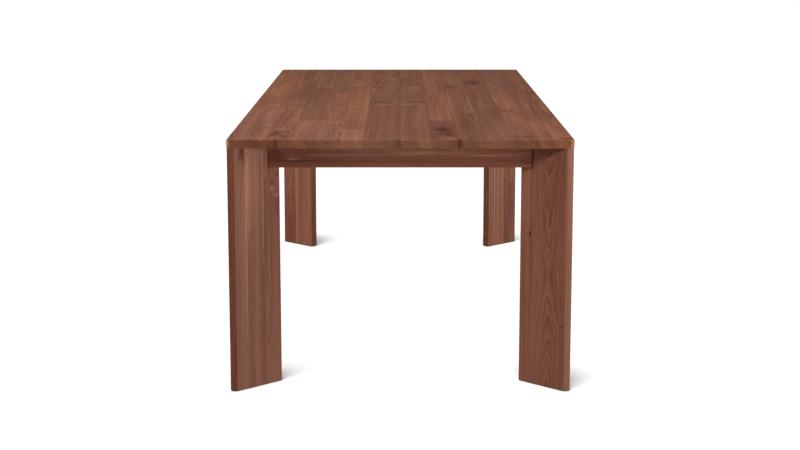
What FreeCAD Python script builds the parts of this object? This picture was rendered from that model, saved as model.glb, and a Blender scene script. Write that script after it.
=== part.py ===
import FreeCAD, Part
import math
import os
import re

import Sketcher

# Dining table: a top glued from rows of staves, a rail frame set back under it, and in each corner a
# plank leg that stands diagonally, with its outer end cut to the corner of the top.
# Frame: origin on the floor under the middle of the top, X across, Y along, Z up. Millimetres.

SIZES = {
    # Whole table
    "table_length": 2400,
    "table_width": 1000,
    "table_height": 745,
    # Top
    "top_thickness": 25,
    "top_corner_radius": 12,
    "top_arris_radius": 2,
    "top_lower_bevel": 1,
    # Legs: the width runs in from the corner of the top along its diagonal
    "leg_width": 190,
    "leg_thickness": 30,
    "leg_setback": 1,
    "leg_nose_radius": 12,
    "leg_shoulder_radius": 12,
    "leg_edge_radius": 3,
    "leg_foot_bevel": 1.5,
    # Rails: the lower edge of a cross rail stands above that of a side rail
    "rail_height": 68,
    "rail_thickness": 25,
    "rail_arris_radius": 1.5,
    "rail_tip_cut": 4,
    "cross_rail_rise": 23,
    "cross_rail_thickness": 30,
    "dowel_diameter": 8,
    "dowel_length": 40,
    "dowel_bite": 15,
    # Corner plates: a web across the leg's inner edge, a flange on each rail, a lip in each rail
    "plate_thickness": 2.5,
    "plate_web_width": 52,
    "plate_flange": 60,
    "plate_lip": 8,
    "plate_margin": 9,
    "plate_bend_radius": 1.5,
    # Hanger bolts with their washers and nuts
    "bolt_diameter": 8,
    "bolt_bite": 45,
    "bolt_tail": 5,
    "bolt_clearance": 0.5,
    "washer_diameter": 20,
    "washer_thickness": 1.6,
    "washer_gap": 8,
    "nut_across_flats": 13,
    "nut_height": 6.5,
    # Wood screws
    "screw_diameter": 4,
    "screw_length": 16,
    "screw_head_diameter": 8,
    "screw_head_height": 2.5,
    # Clips that hold the top: a foot under the top, a tongue in a groove of the rail
    "clip_width": 20,
    "clip_thickness": 2,
    "clip_foot": 24,
    "clip_tongue": 8,
    "clip_gap": 2,
    "groove_drop": 12,
    "groove_play": 1,
    # Glides
    "glide_diameter": 18,
    "glide_height": 2,
    "glide_stem_diameter": 6,
    "glide_stem_length": 15,
    # Fits
    "fit_clearance": 0.1,
    "cut_overrun": 5,
}

# Glue lines of the top, as shares of its width from the left
ROW_JOINT_SHARES = (0.115, 0.18, 0.25, 0.325, 0.395, 0.5, 0.59, 0.665, 0.745, 0.828, 0.9)
# Butt joints of each row of staves, as shares of the top's length from the near end
STAVE_JOINT_SHARES = (
    (0.34,),
    (0.36, 0.78),
    (0.2, 0.66),
    (0.2, 0.585),
    (0.103, 0.778),
    (0.405,),
    (0.405, 0.82),
    (0.2, 0.53),
    (0.29, 0.7),
    (0.47,),
    (0.33, 0.74),
    (0.195, 0.62),
)
# Glue lines of each leg, as shares of its width from the outer end
LEG_JOINT_SHARES = {
    "near_left": (0.29, 0.67),
    "near_right": (0.36, 0.8),
    "far_right": (0.43,),
    "far_left": (0.47,),
}
# Corners of the table: the side and the end that each lies at
CORNERS = {
    "near_left": (-1, -1),
    "near_right": (1, -1),
    "far_right": (1, 1),
    "far_left": (-1, 1),
}
# Rails: the table's size along the rail and across it, and the rail's turn from the near end
RAILS = {
    "end_rail_near": ("table_width", "table_length", 0),
    "side_rail_right": ("table_length", "table_width", 90),
    "end_rail_far": ("table_width", "table_length", 180),
    "side_rail_left": ("table_length", "table_width", 270),
}
# Direction along a rail at each turn
RAIL_AXES = {0: (1, 0), 90: (0, 1), 180: (-1, 0), 270: (0, -1)}
# Cross rails, as shares of the table's length from its middle
CROSS_RAIL_SHARES = {"cross_rail_near": -0.165, "cross_rail_far": 0.165}
# Dowels in the end of a cross rail, as shares of its height from its lower edge
DOWEL_HEIGHT_SHARES = (0.2, 0.5)
# Clips, as shares of the table's size along the rail, from the middle
END_CLIP_SHARES = (-0.15, 0.15)
SIDE_CLIP_SHARES = (-0.3, -0.07, 0.07, 0.3)
CLIP_SCREW_SHARE = 0.55
# Screws of a flange: shares of its length from the web, and of the plate's height
PLATE_SCREW_SHARES = ((0.3, 0.32), (0.72, 0.68))
# Glides, as shares of the leg's width from the outer end
GLIDE_SHARES = (0.18, 0.85)

# Rounding limits, as shares of the wall that carries the rounding
NOSE_LIMIT_SHARE = 0.6
SHOULDER_LIMIT_SHARE = 0.7
ARRIS_LIMIT_SHARE = 0.8
EDGE_LIMIT_SHARE = 0.4
# Flat sides of small round sections, which keep the hardware light
FINE_SIDES = 8
BROAD_SIDES = 16
HEX_SIDES = 6

# Formulas in the names of the sizes
TOP_UNDERSIDE = "(table_height - top_thickness)"
RAIL_INNER = "((leg_width - plate_web_width / 2) / sqrt(2))"
RAIL_OUTER = f"({RAIL_INNER} - rail_thickness)"
FLANGE_START = "((leg_width + plate_web_width / 2) / sqrt(2))"
NOSE_FACE = "(leg_thickness / sqrt(2))"
LEG_LENGTH = f"({TOP_UNDERSIDE} - glide_height)"
PLATE_HEIGHT = "(rail_height - 2 * plate_margin)"
PLATE_BOTTOM = f"({TOP_UNDERSIDE} - rail_height + plate_margin)"
PLATE_MIDDLE = f"({TOP_UNDERSIDE} - rail_height / 2)"
BOLT_PITCH = "(washer_diameter + washer_gap)"
BOLT_LENGTH = "(bolt_bite + plate_thickness + washer_thickness + nut_height + bolt_tail)"
CROSS_RAIL_HEIGHT = "(rail_height - cross_rail_rise)"
CROSS_RAIL_LENGTH = f"(table_width - 2 * {RAIL_INNER})"
CLIP_SCREW_REACH = f"(clip_gap + {CLIP_SCREW_SHARE} * clip_foot)"

# Points of a sketch: its origin, and the ends of a line
ORIGIN = (-1, 1)
LINE_START = 1
LINE_END = 2

UP = FreeCAD.Vector(0, 0, 1)
SIZE_NAME = re.compile(r"[a-z]+(?:_[a-z]+)+")

doc = FreeCAD.newDocument("dining_table")
sheet = doc.addObject("Spreadsheet::Sheet", "Sizes")


def fill_sheet():
    """Write each size into the sheet under its own name."""
    for row, (name, number) in enumerate(SIZES.items(), start=1):
        sheet.set(f"A{row}", name)
        sheet.set(f"B{row}", str(number))
        sheet.setAlias(f"B{row}", name)
    doc.recompute()


def in_sheet(formula):
    """Formula with each size name pointing at its cell."""
    return SIZE_NAME.sub(r"Sizes.\g<0>", formula)


def tie(item, target, formula):
    """Bind a property to a formula."""
    item.setExpression(target, in_sheet(formula))


def value(formula):
    """Number that a formula gives for the sheet's sizes."""
    return float(sheet.evalExpression(in_sheet(formula)))


def place(item, x, y, z, rotation=FreeCAD.Rotation()):
    """Turn an item and bind its position."""
    item.Placement = FreeCAD.Placement(FreeCAD.Vector(), rotation)
    for axis, formula in zip("xyz", (x, y, z)):
        tie(item, f"Placement.Base.{axis}", formula)


def turned(angle):
    """Rotation about the vertical."""
    return FreeCAD.Rotation(UP, angle)


def pointing(x, y):
    """Rotation that lays an upright piece along a level direction."""
    return FreeCAD.Rotation(UP, FreeCAD.Vector(x, y, 0))


def corner_point(corner, inward):
    """Plan position on a corner's diagonal, at a distance in from the tip of the corner."""
    side, end = CORNERS[corner]
    x = f"{side} * (table_width / 2 - {inward} / sqrt(2))"
    y = f"{end} * (table_length / 2 - {inward} / sqrt(2))"
    return x, y


def corner_turn(corner):
    """Angle of the diagonal that runs in from a corner."""
    side, end = CORNERS[corner]
    return math.degrees(math.atan2(-end, -side))


def rail_point(rail, along, inward):
    """Plan position by the distance along a rail from its middle and in from the table's edge."""
    _, across, turn = RAILS[rail]
    along_x, along_y = RAIL_AXES[turn]
    depth = f"({inward} - {across} / 2)"
    x = f"{along_x} * ({along}) + {-along_y} * {depth}"
    y = f"{along_y} * ({along}) + {along_x} * {depth}"
    return x, y


def new_sketch(body, name, role, lift="0", tilt=0):
    """Empty sketch on one of the body's own planes, lifted along its normal or tilted."""
    plane = next(item for item in body.Origin.OriginFeatures if item.Role == role)
    sketch = body.newObject("Sketcher::SketchObject", name)
    sketch.AttachmentSupport = [(plane, "")]
    sketch.MapMode = "FlatFace"
    sketch.AttachmentOffset = FreeCAD.Placement(
        FreeCAD.Vector(), FreeCAD.Rotation(FreeCAD.Vector(0, 1, 0), tilt)
    )
    tie(sketch, "AttachmentOffset.Base.z", lift)
    return sketch


def draw_outline(sketch, corners):
    """Closed outline through corners given as pairs of formulas."""
    first = sketch.GeometryCount
    points = [FreeCAD.Vector(value(x), value(y), 0) for x, y in corners]
    for start, end in zip(points, points[1:] + points[:1]):
        sketch.addGeometry(Part.LineSegment(start, end))
    for number, corner in enumerate(corners):
        line = first + number
        following = first + (number + 1) % len(corners)
        sketch.addConstraint(Sketcher.Constraint("Coincident", line, LINE_END, following, LINE_START))
        for kind, formula in zip(("DistanceX", "DistanceY"), corner):
            constraint = Sketcher.Constraint(kind, *ORIGIN, line, LINE_START, value(formula))
            tie(sketch, f"Constraints[{sketch.addConstraint(constraint)}]", formula)


def draw_rounds(sketch, centres, diameter, sides=FINE_SIDES):
    """Regular outlines at centres given as pairs of formulas, with their flats at the diameter."""
    reach = 1 / math.cos(math.pi / sides) / 2
    angles = [2 * math.pi * (step + 0.5) / sides for step in range(sides)]
    for x, y in centres:
        draw_outline(sketch, [
            (f"{x} + {reach * math.cos(angle):.6f} * ({diameter})",
             f"{y} + {reach * math.sin(angle):.6f} * ({diameter})")
            for angle in angles
        ])


def pad(body, sketch, length, symmetric=False):
    """Raise a sketch into a solid."""
    feature = body.newObject("PartDesign::Pad", f"{sketch.Name}_pad")
    feature.Profile = sketch
    tie(feature, "Length", length)
    if symmetric:
        feature.SideType = "Symmetric"
    doc.recompute()


def cut(body, sketch, depth=None, flip=False):
    """Cut a sketch into the body, right through it both ways when no depth is given."""
    volume = body.Shape.Volume
    feature = body.newObject("PartDesign::Pocket", f"{sketch.Name}_cut")
    feature.Profile = sketch
    feature.Reversed = flip
    if depth is None:
        feature.SideType = "Symmetric"
        feature.Type = "ThroughAll"
    else:
        tie(feature, "Length", depth)
    doc.recompute()
    if not body.Shape.Volume < volume:
        raise RuntimeError(f"{feature.Name} cuts nothing")


def dress_edges(body, kind, name, amount, chosen):
    """Dress the edges of the body's last feature that a test on an edge's box picks out."""
    feature = body.Tip
    edges = enumerate(feature.Shape.Edges, start=1)
    names = [f"Edge{number}" for number, edge in edges if chosen(edge.BoundBox)]
    dressing = body.newObject(f"PartDesign::{kind}", name)
    dressing.Base = (feature, names)
    tie(dressing, {"Fillet": "Radius", "Chamfer": "Size"}[kind], amount)
    doc.recompute()


def round_edges(body, name, radius, chosen):
    """Round the chosen edges."""
    dress_edges(body, "Fillet", name, radius, chosen)


def bevel_edges(body, name, width, chosen):
    """Bevel the chosen edges."""
    dress_edges(body, "Chamfer", name, width, chosen)


def is_upright(box):
    """Whether an edge runs straight up."""
    return box.ZLength > box.XLength + box.YLength


def cutting_box(name, low, high):
    """Box between two corners, each given as three formulas."""
    box = doc.addObject("Part::Box", name)
    for length, axis, start, end in zip(("Length", "Width", "Height"), "xyz", low, high):
        tie(box, length, f"({end}) - ({start})")
        tie(box, f"Placement.Base.{axis}", start)
    return box


def stretches(start, length, joint_shares):
    """Stretches of a length between its joints; the first and the last run past its ends."""
    marks = [f"{start} - cut_overrun"]
    marks += [f"{start} + {share} * {length}" for share in joint_shares]
    marks.append(f"{start} + {length} + cut_overrun")
    return list(zip(marks, marks[1:]))


def sawn(blank, name, low, high):
    """The piece of a glued blank that lies inside a box."""
    piece = doc.addObject("Part::Common", name)
    piece.Base = blank
    piece.Tool = cutting_box(f"{name}_box", low, high)
    return piece


def group(label, pieces):
    """Pieces kept together as one sub-part."""
    compound = doc.addObject("Part::Compound", label)
    compound.Links = pieces
    return compound


def copies(label, master, places):
    """Like pieces as one sub-part, each at its own place: three formulas and a rotation."""
    links = []
    for number, place_of_copy in enumerate(places, start=1):
        link = doc.addObject("App::Link", f"{label}_{number:02d}")
        link.LinkedObject = master
        place(link, *place_of_copy)
        links.append(link)
    return group(label, links)


def clip_places():
    """Rail and distance along it of every clip."""
    for rail, (along, _, _) in RAILS.items():
        shares = END_CLIP_SHARES if rail.startswith("end") else SIDE_CLIP_SHARES
        for share in shares:
            yield rail, f"{share} * {along}"


def plate_screw_places():
    """Rail, distance along it and height on the plate of every plate screw."""
    for rail, (along, _, _) in RAILS.items():
        for side in (-1, 1):
            for reach_share, height_share in PLATE_SCREW_SHARES:
                reach = f"{FLANGE_START} + {reach_share} * plate_flange"
                height = f"{height_share} * {PLATE_HEIGHT}"
                yield rail, f"{side} * ({along} / 2 - ({reach}))", height


def make_top_blank():
    """Glued panel of the top with rounded corners and edges, drilled for the clip screws."""
    body = doc.addObject("PartDesign::Body", "top_blank")
    plan = new_sketch(body, "top_plan", "XY_Plane")
    half_width = "table_width / 2"
    half_length = "table_length / 2"
    draw_outline(plan, (
        (f"-{half_width}", f"-{half_length}"),
        (half_width, f"-{half_length}"),
        (half_width, half_length),
        (f"-{half_width}", half_length),
    ))
    pad(body, plan, "top_thickness")
    round_edges(body, "top_corners", "top_corner_radius", is_upright)
    limit = f"min({EDGE_LIMIT_SHARE} * top_thickness; {ARRIS_LIMIT_SHARE} * top_corner_radius)"
    middle = value("top_thickness") / 2
    round_edges(
        body, "top_arris", f"min(top_arris_radius; {limit})", lambda box: box.ZMin > middle
    )
    bevel_edges(
        body, "top_lower_arris", f"min(top_lower_bevel; {limit})", lambda box: box.ZMax < middle
    )
    holes = new_sketch(body, "top_screw_holes", "XY_Plane")
    reach = f"({RAIL_INNER} + {CLIP_SCREW_REACH})"
    centres = [rail_point(rail, along, reach) for rail, along in clip_places()]
    draw_rounds(holes, centres, "screw_diameter + 2 * fit_clearance")
    cut(body, holes, "screw_length - clip_thickness + fit_clearance", flip=True)
    place(body, "0", "0", TOP_UNDERSIDE)
    return body


def make_top_rows():
    """Rows of staves that the top is glued from, from left to right."""
    blank = make_top_blank()
    low_z = f"{TOP_UNDERSIDE} - cut_overrun"
    high_z = "table_height + cut_overrun"
    rows = []
    row_spans = stretches("-table_width / 2", "table_width", ROW_JOINT_SHARES)
    for (low_x, high_x), joint_shares in zip(row_spans, STAVE_JOINT_SHARES):
        label = f"top_board_{len(rows) + 1:02d}"
        staves = []
        for low_y, high_y in stretches("-table_length / 2", "table_length", joint_shares):
            name = f"{label}_stave_{len(staves) + 1}"
            staves.append(sawn(blank, name, (low_x, low_y, low_z), (high_x, high_y, high_z)))
        rows.append(group(label, staves))
    return rows


def make_leg_blank():
    """Glued plank of a leg along X, its nose at the corner of the top, drilled for bolts and glides."""
    body = doc.addObject("PartDesign::Body", "leg_blank")
    plan = new_sketch(body, "leg_plan", "XY_Plane")
    nose = "leg_setback * sqrt(2)"
    shoulder = f"{nose} + leg_thickness / 2"
    half = "leg_thickness / 2"
    draw_outline(plan, (
        (nose, "0"),
        (shoulder, f"-{half}"),
        ("leg_width", f"-{half}"),
        ("leg_width", half),
        (shoulder, half),
    ))
    pad(body, plan, LEG_LENGTH)
    nose_end = value(f"{nose} + leg_thickness / 4")
    mid_width = value("leg_width / 2")
    mid_length = value(LEG_LENGTH) / 2
    round_edges(
        body, "leg_shoulders", f"min(leg_shoulder_radius; {SHOULDER_LIMIT_SHARE} * {NOSE_FACE})",
        lambda box: is_upright(box) and nose_end < box.Center.x < mid_width,
    )
    round_edges(
        body, "leg_nose", f"min(leg_nose_radius; {NOSE_LIMIT_SHARE} * {NOSE_FACE})",
        lambda box: is_upright(box) and box.Center.x < nose_end,
    )
    round_edges(
        body, "leg_inner_edges", f"min(leg_edge_radius; {EDGE_LIMIT_SHARE} * leg_thickness)",
        lambda box: is_upright(box) and box.Center.x > mid_width,
    )
    bevel_edges(
        body, "leg_foot", f"min(leg_foot_bevel; {ARRIS_LIMIT_SHARE} * leg_edge_radius)",
        lambda box: box.ZMax < mid_length,
    )
    bolts = new_sketch(body, "leg_bolt_holes", "YZ_Plane", "leg_width")
    heights = [f"{PLATE_MIDDLE} - glide_height + {side} * {BOLT_PITCH} / 2" for side in (-1, 1)]
    draw_rounds(bolts, [("0", height) for height in heights], "bolt_diameter + 2 * fit_clearance")
    cut(body, bolts, "bolt_bite + fit_clearance")
    glides = new_sketch(body, "leg_glide_holes", "XY_Plane")
    centres = [(f"{share} * leg_width", "0") for share in GLIDE_SHARES]
    draw_rounds(glides, centres, "glide_stem_diameter + 2 * fit_clearance")
    cut(body, glides, "glide_stem_length + fit_clearance", flip=True)
    return body


def make_legs():
    """A leg in each corner, glued from upright boards."""
    blank = make_leg_blank()
    half = "leg_thickness / 2 + cut_overrun"
    legs = []
    for corner, joint_shares in LEG_JOINT_SHARES.items():
        label = f"leg_{corner}"
        boards = []
        for low_x, high_x in stretches("0", "leg_width", joint_shares):
            low = (low_x, f"-({half})", "-cut_overrun")
            high = (high_x, half, f"{LEG_LENGTH} + cut_overrun")
            boards.append(sawn(blank, f"{label}_board_{len(boards) + 1}", low, high))
        leg = group(label, boards)
        place(leg, *corner_point(corner, "0"), "glide_height", turned(corner_turn(corner)))
        legs.append(leg)
    return legs


def make_rail(label):
    """Rail along X with its outer face on Y zero, mitred at both ends to the faces of the legs.

    The thin tip of each mitre is cut square, which leaves a dark groove between rail and leg.
    """
    along, _, turn = RAILS[label]
    outer_half = f"({along} / 2 - {RAIL_OUTER} - {NOSE_FACE} - rail_tip_cut)"
    inner_half = f"({along} / 2 - {RAIL_INNER} - {NOSE_FACE})"
    body = doc.addObject("PartDesign::Body", label)
    plan = new_sketch(body, f"{label}_plan", "XY_Plane")
    draw_outline(plan, (
        (f"-{outer_half}", "0"),
        (outer_half, "0"),
        (outer_half, "rail_tip_cut"),
        (inner_half, "rail_thickness"),
        (f"-{inner_half}", "rail_thickness"),
        (f"-{outer_half}", "rail_tip_cut"),
    ))
    pad(body, plan, "rail_height")
    middle = value("rail_height") / 2
    thickness = value("rail_thickness")
    round_edges(
        body, f"{label}_arris", f"min(rail_arris_radius; {EDGE_LIMIT_SHARE} * rail_thickness)",
        lambda box: box.ZMax < middle and box.YLength < thickness / 2,
    )
    cut_clip_groove(body)
    cut_plate_kerfs(body, along)
    drill_plate_screws(body, label)
    if label.startswith("side"):
        drill_dowels(body, label)
    place(body, *rail_point(label, "0", RAIL_OUTER), f"{TOP_UNDERSIDE} - rail_height", turned(turn))
    return body


def cut_clip_groove(rail):
    """Groove along a rail's inner face for the tongues of the clips."""
    section = new_sketch(rail, f"{rail.Name}_groove", "YZ_Plane")
    bed = "rail_thickness - clip_tongue - groove_play"
    mouth = "rail_thickness + cut_overrun"
    top = "rail_height - groove_drop"
    bottom = f"{top} - clip_thickness - groove_play"
    draw_outline(section, ((bed, bottom), (mouth, bottom), (mouth, top), (bed, top)))
    cut(rail, section)


def cut_plate_kerfs(rail, along):
    """Upright kerf near each end of a rail for the lip of a corner plate."""
    plan = new_sketch(rail, f"{rail.Name}_kerfs", "XY_Plane")
    outer = f"({along} / 2 - {FLANGE_START} - plate_flange + fit_clearance)"
    inner = f"({outer} - plate_thickness - 2 * fit_clearance)"
    bed = "rail_thickness - plate_lip - fit_clearance"
    mouth = "rail_thickness + cut_overrun"
    for near, far in ((inner, outer), (f"-{outer}", f"-{inner}")):
        draw_outline(plan, ((near, bed), (far, bed), (far, mouth), (near, mouth)))
    cut(rail, plan)


def drill_plate_screws(rail, label):
    """Pilot holes in a rail's inner face for the screws of its two corner plates."""
    face = new_sketch(rail, f"{label}_screw_holes", "XZ_Plane", "-rail_thickness")
    centres = [
        (along, f"plate_margin + {height}")
        for place_rail, along, height in plate_screw_places()
        if place_rail == label
    ]
    draw_rounds(face, centres, "screw_diameter + 2 * fit_clearance")
    cut(rail, face, "screw_length - plate_thickness + fit_clearance", flip=True)


def drill_dowels(rail, label):
    """Dowel holes in a side rail's inner face, where the cross rails meet it."""
    along_y = RAIL_AXES[RAILS[label][2]][1]
    face = new_sketch(rail, f"{label}_dowel_holes", "XZ_Plane", "-rail_thickness")
    centres = [
        (f"{along_y * cross_share} * table_length", f"cross_rail_rise + {share} * {CROSS_RAIL_HEIGHT}")
        for cross_share in CROSS_RAIL_SHARES.values()
        for share in DOWEL_HEIGHT_SHARES
    ]
    draw_rounds(face, centres, "dowel_diameter + 2 * fit_clearance")
    cut(rail, face, "dowel_bite + fit_clearance", flip=True)


def make_cross_rail(label):
    """Batten under the top between the side rails, with dowel holes in its ends."""
    body = doc.addObject("PartDesign::Body", label)
    plan = new_sketch(body, f"{label}_plan", "XY_Plane")
    half_length = f"{CROSS_RAIL_LENGTH} / 2"
    half_thickness = "cross_rail_thickness / 2"
    draw_outline(plan, (
        (f"-{half_length}", f"-{half_thickness}"),
        (half_length, f"-{half_thickness}"),
        (half_length, half_thickness),
        (f"-{half_length}", half_thickness),
    ))
    pad(body, plan, CROSS_RAIL_HEIGHT)
    middle = value(CROSS_RAIL_HEIGHT) / 2
    thickness = value("cross_rail_thickness")
    round_edges(
        body, f"{label}_arris", f"min(rail_arris_radius; {EDGE_LIMIT_SHARE} * cross_rail_thickness)",
        lambda box: box.ZMax < middle and box.YLength < thickness / 2,
    )
    for side in (-1, 1):
        end = new_sketch(body, f"{label}_end_{side + 2}", "YZ_Plane", f"{side} * {half_length}")
        centres = [("0", f"{share} * {CROSS_RAIL_HEIGHT}") for share in DOWEL_HEIGHT_SHARES]
        draw_rounds(end, centres, "dowel_diameter + 2 * fit_clearance")
        cut(body, end, "dowel_length - dowel_bite + fit_clearance", flip=side < 0)
    y = f"{CROSS_RAIL_SHARES[label]} * table_length"
    place(body, "0", y, f"{TOP_UNDERSIDE} - {CROSS_RAIL_HEIGHT}")
    return body


def plate_outline():
    """Plan of a corner plate: one half from the web to the lip's end and back, then its mirror."""
    lean = "plate_thickness / sqrt(2)"
    web = "plate_web_width / 2"
    flange = "plate_flange / sqrt(2)"
    lip = "plate_lip / sqrt(2)"
    inner_web = f"({web} - plate_thickness * (sqrt(2) - 1))"
    outer_side = (
        ("leg_width", web),
        (f"leg_width + {flange}", f"({web} + {flange})"),
        (f"leg_width + {flange} - {lip}", f"({web} + {flange} + {lip})"),
        (f"leg_width + {flange} - {lip} + {lean}", f"({web} + {flange} + {lip} + {lean})"),
    )
    inner_side = (
        (f"leg_width + {flange} + 2 * {lean}", f"({web} + {flange})"),
        ("leg_width + plate_thickness", inner_web),
    )
    half = outer_side + inner_side
    mirror = [(x, f"-{y}") for x, y in reversed(half)]
    return half + tuple(mirror)


def make_plate_blank():
    """Bent corner plate with its web across X, drilled for the bolts and the screws."""
    body = doc.addObject("PartDesign::Body", "plate_blank")
    plan = new_sketch(body, "plate_plan", "XY_Plane")
    draw_outline(plan, plate_outline())
    pad(body, plan, PLATE_HEIGHT)
    web_middle = value("leg_width + plate_thickness / 2")
    web_end = value("leg_width + plate_thickness + plate_bend_radius")
    flange_end = value("leg_width + (plate_flange + plate_thickness) / sqrt(2)")
    round_edges(
        body, "plate_outer_bends", "plate_thickness + plate_bend_radius",
        lambda box: is_upright(box) and (box.XMax < web_middle or box.XMin > flange_end),
    )
    round_edges(
        body, "plate_inner_bends", "plate_bend_radius",
        lambda box: is_upright(box) and web_middle < box.Center.x < web_end,
    )
    web = new_sketch(body, "plate_bolt_holes", "YZ_Plane")
    heights = [f"{PLATE_HEIGHT} / 2 + {side} * {BOLT_PITCH} / 2" for side in (-1, 1)]
    draw_rounds(web, [("0", height) for height in heights], "bolt_diameter + 2 * bolt_clearance")
    cut(body, web)
    for side in (-1, 1):
        flange = new_sketch(body, f"plate_screw_holes_{side + 2}", "YZ_Plane", tilt=-45 * side)
        centres = [
            (f"{side} * ({FLANGE_START} + {reach_share} * plate_flange)", f"{share} * {PLATE_HEIGHT}")
            for reach_share, share in PLATE_SCREW_SHARES
        ]
        draw_rounds(flange, centres, "screw_diameter + 2 * bolt_clearance")
        cut(body, flange)
    return body


def make_plates():
    """A corner plate behind each leg."""
    blank = make_plate_blank()
    plates = []
    for corner in CORNERS:
        x, y = corner_point(corner, "0")
        spot = (x, y, PLATE_BOTTOM, turned(corner_turn(corner)))
        plates.append(copies(f"corner_plate_{corner}", blank, [spot]))
    return plates


def make_stud(name, sections):
    """Upright piece of stacked sections: diameter, sides, lower end and length of each."""
    body = doc.addObject("PartDesign::Body", name)
    for number, (diameter, sides, low, length) in enumerate(sections, start=1):
        plan = new_sketch(body, f"{name}_plan_{number}", "XY_Plane", low)
        draw_rounds(plan, [("0", "0")], diameter, sides)
        pad(body, plan, length)
    return body


def make_ring(name, diameter, sides, bore, length):
    """Upright ring with an outer diameter and a bore."""
    body = doc.addObject("PartDesign::Body", name)
    plan = new_sketch(body, f"{name}_plan", "XY_Plane")
    draw_rounds(plan, [("0", "0")], diameter, sides)
    draw_rounds(plan, [("0", "0")], bore)
    pad(body, plan, length)
    return body


def make_bolt_sets():
    """Hanger bolts through the corner plates into the legs, with their washers and nuts."""
    plate_face = "(leg_width + plate_thickness)"
    bolt = make_stud("bolt_blank", [("bolt_diameter", FINE_SIDES, "0", BOLT_LENGTH)])
    washer = make_ring(
        "washer_blank", "washer_diameter", BROAD_SIDES, "bolt_diameter + 2 * bolt_clearance",
        "washer_thickness",
    )
    nut = make_ring(
        "nut_blank", "nut_across_flats", HEX_SIDES, "bolt_diameter + 2 * fit_clearance", "nut_height"
    )
    layers = (
        ("hanger_bolts", bolt, "(leg_width - bolt_bite)"),
        ("bolt_washers", washer, plate_face),
        ("bolt_nuts", nut, f"({plate_face} + washer_thickness)"),
    )
    groups = []
    for label, master, inward in layers:
        places = []
        for corner, (side, end) in CORNERS.items():
            x, y = corner_point(corner, inward)
            for step in (-1, 1):
                z = f"{PLATE_MIDDLE} + {step} * {BOLT_PITCH} / 2"
                places.append((x, y, z, pointing(-side, -end)))
        groups.append(copies(label, master, places))
    return groups


def make_screws():
    """Screws that hold the corner plates on the rails and the clips under the top."""
    screw = make_stud("screw_blank", [
        ("screw_head_diameter", FINE_SIDES, "-screw_head_height", "screw_head_height"),
        ("screw_diameter", FINE_SIDES, "0", "screw_length"),
    ])
    plate_places = []
    for rail, along, height in plate_screw_places():
        x, y = rail_point(rail, along, f"{RAIL_INNER} + plate_thickness")
        along_x, along_y = RAIL_AXES[RAILS[rail][2]]
        plate_places.append((x, y, f"{PLATE_BOTTOM} + {height}", pointing(along_y, -along_x)))
    clip_screw_places = []
    for rail, along in clip_places():
        x, y = rail_point(rail, along, f"{RAIL_INNER} + {CLIP_SCREW_REACH}")
        clip_screw_places.append((x, y, f"{TOP_UNDERSIDE} - clip_thickness"))
    return [
        copies("plate_screws", screw, plate_places),
        copies("clip_screws", screw, clip_screw_places),
    ]


def make_clips():
    """Z-shaped clips, each with its tongue in a rail's groove and its foot under the top."""
    body = doc.addObject("PartDesign::Body", "clip_blank")
    section = new_sketch(body, "clip_section", "XZ_Plane")
    foot_end = "clip_gap + clip_foot"
    step = "clip_gap + clip_thickness"
    drop = "-groove_drop"
    draw_outline(section, (
        ("-clip_tongue", drop),
        ("clip_gap", drop),
        ("clip_gap", "0"),
        (foot_end, "0"),
        (foot_end, "-clip_thickness"),
        (step, "-clip_thickness"),
        (step, f"{drop} - clip_thickness"),
        ("-clip_tongue", f"{drop} - clip_thickness"),
    ))
    pad(body, section, "clip_width", symmetric=True)
    hole = new_sketch(body, "clip_hole", "XY_Plane")
    draw_rounds(hole, [(CLIP_SCREW_REACH, "0")], "screw_diameter + 2 * bolt_clearance")
    cut(body, hole)
    places = []
    for rail, along in clip_places():
        x, y = rail_point(rail, along, RAIL_INNER)
        places.append((x, y, TOP_UNDERSIDE, turned(RAILS[rail][2] + 90)))
    return copies("top_clips", body, places)


def make_glides():
    """Glides under the legs, each with a stem in the foot."""
    glide = make_stud("glide_blank", [
        ("glide_diameter", BROAD_SIDES, "0", "glide_height"),
        ("glide_stem_diameter", FINE_SIDES, "glide_height", "glide_stem_length"),
    ])
    places = []
    for corner in CORNERS:
        for share in GLIDE_SHARES:
            x, y = corner_point(corner, f"({share} * leg_width)")
            places.append((x, y, "0"))
    return copies("foot_glides", glide, places)


def make_dowels():
    """Dowels between the cross rails and the side rails."""
    dowel = make_stud("dowel_blank", [("dowel_diameter", FINE_SIDES, "0", "dowel_length")])
    places = []
    for cross_share in CROSS_RAIL_SHARES.values():
        for side in (-1, 1):
            for share in DOWEL_HEIGHT_SHARES:
                x = f"{side} * ({CROSS_RAIL_LENGTH} / 2 + dowel_bite)"
                y = f"{cross_share} * table_length"
                z = f"{TOP_UNDERSIDE} - {CROSS_RAIL_HEIGHT} + {share} * {CROSS_RAIL_HEIGHT}"
                places.append((x, y, z, pointing(-side, 0)))
    return copies("cross_rail_dowels", dowel, places)


def make_table():
    """Every sub-part of the table."""
    fill_sheet()
    nodes = make_top_rows()
    nodes += make_legs()
    nodes += [make_rail(label) for label in RAILS]
    nodes += [make_cross_rail(label) for label in CROSS_RAIL_SHARES]
    nodes += make_plates()
    nodes += make_bolt_sets()
    nodes += make_screws()
    nodes += [make_clips(), make_glides(), make_dowels()]
    doc.recompute()
    return nodes


def check(nodes):
    """Stop if an object failed or a sub-part has no sound shape."""
    for item in doc.Objects:
        if {"Invalid", "Error"} & set(item.State):
            raise RuntimeError(f"{item.Label}: {item.State}")
    for node in nodes:
        if node.Shape.isNull() or not node.Shape.isValid():
            raise RuntimeError(f"{node.Label} has no sound shape")


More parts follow.
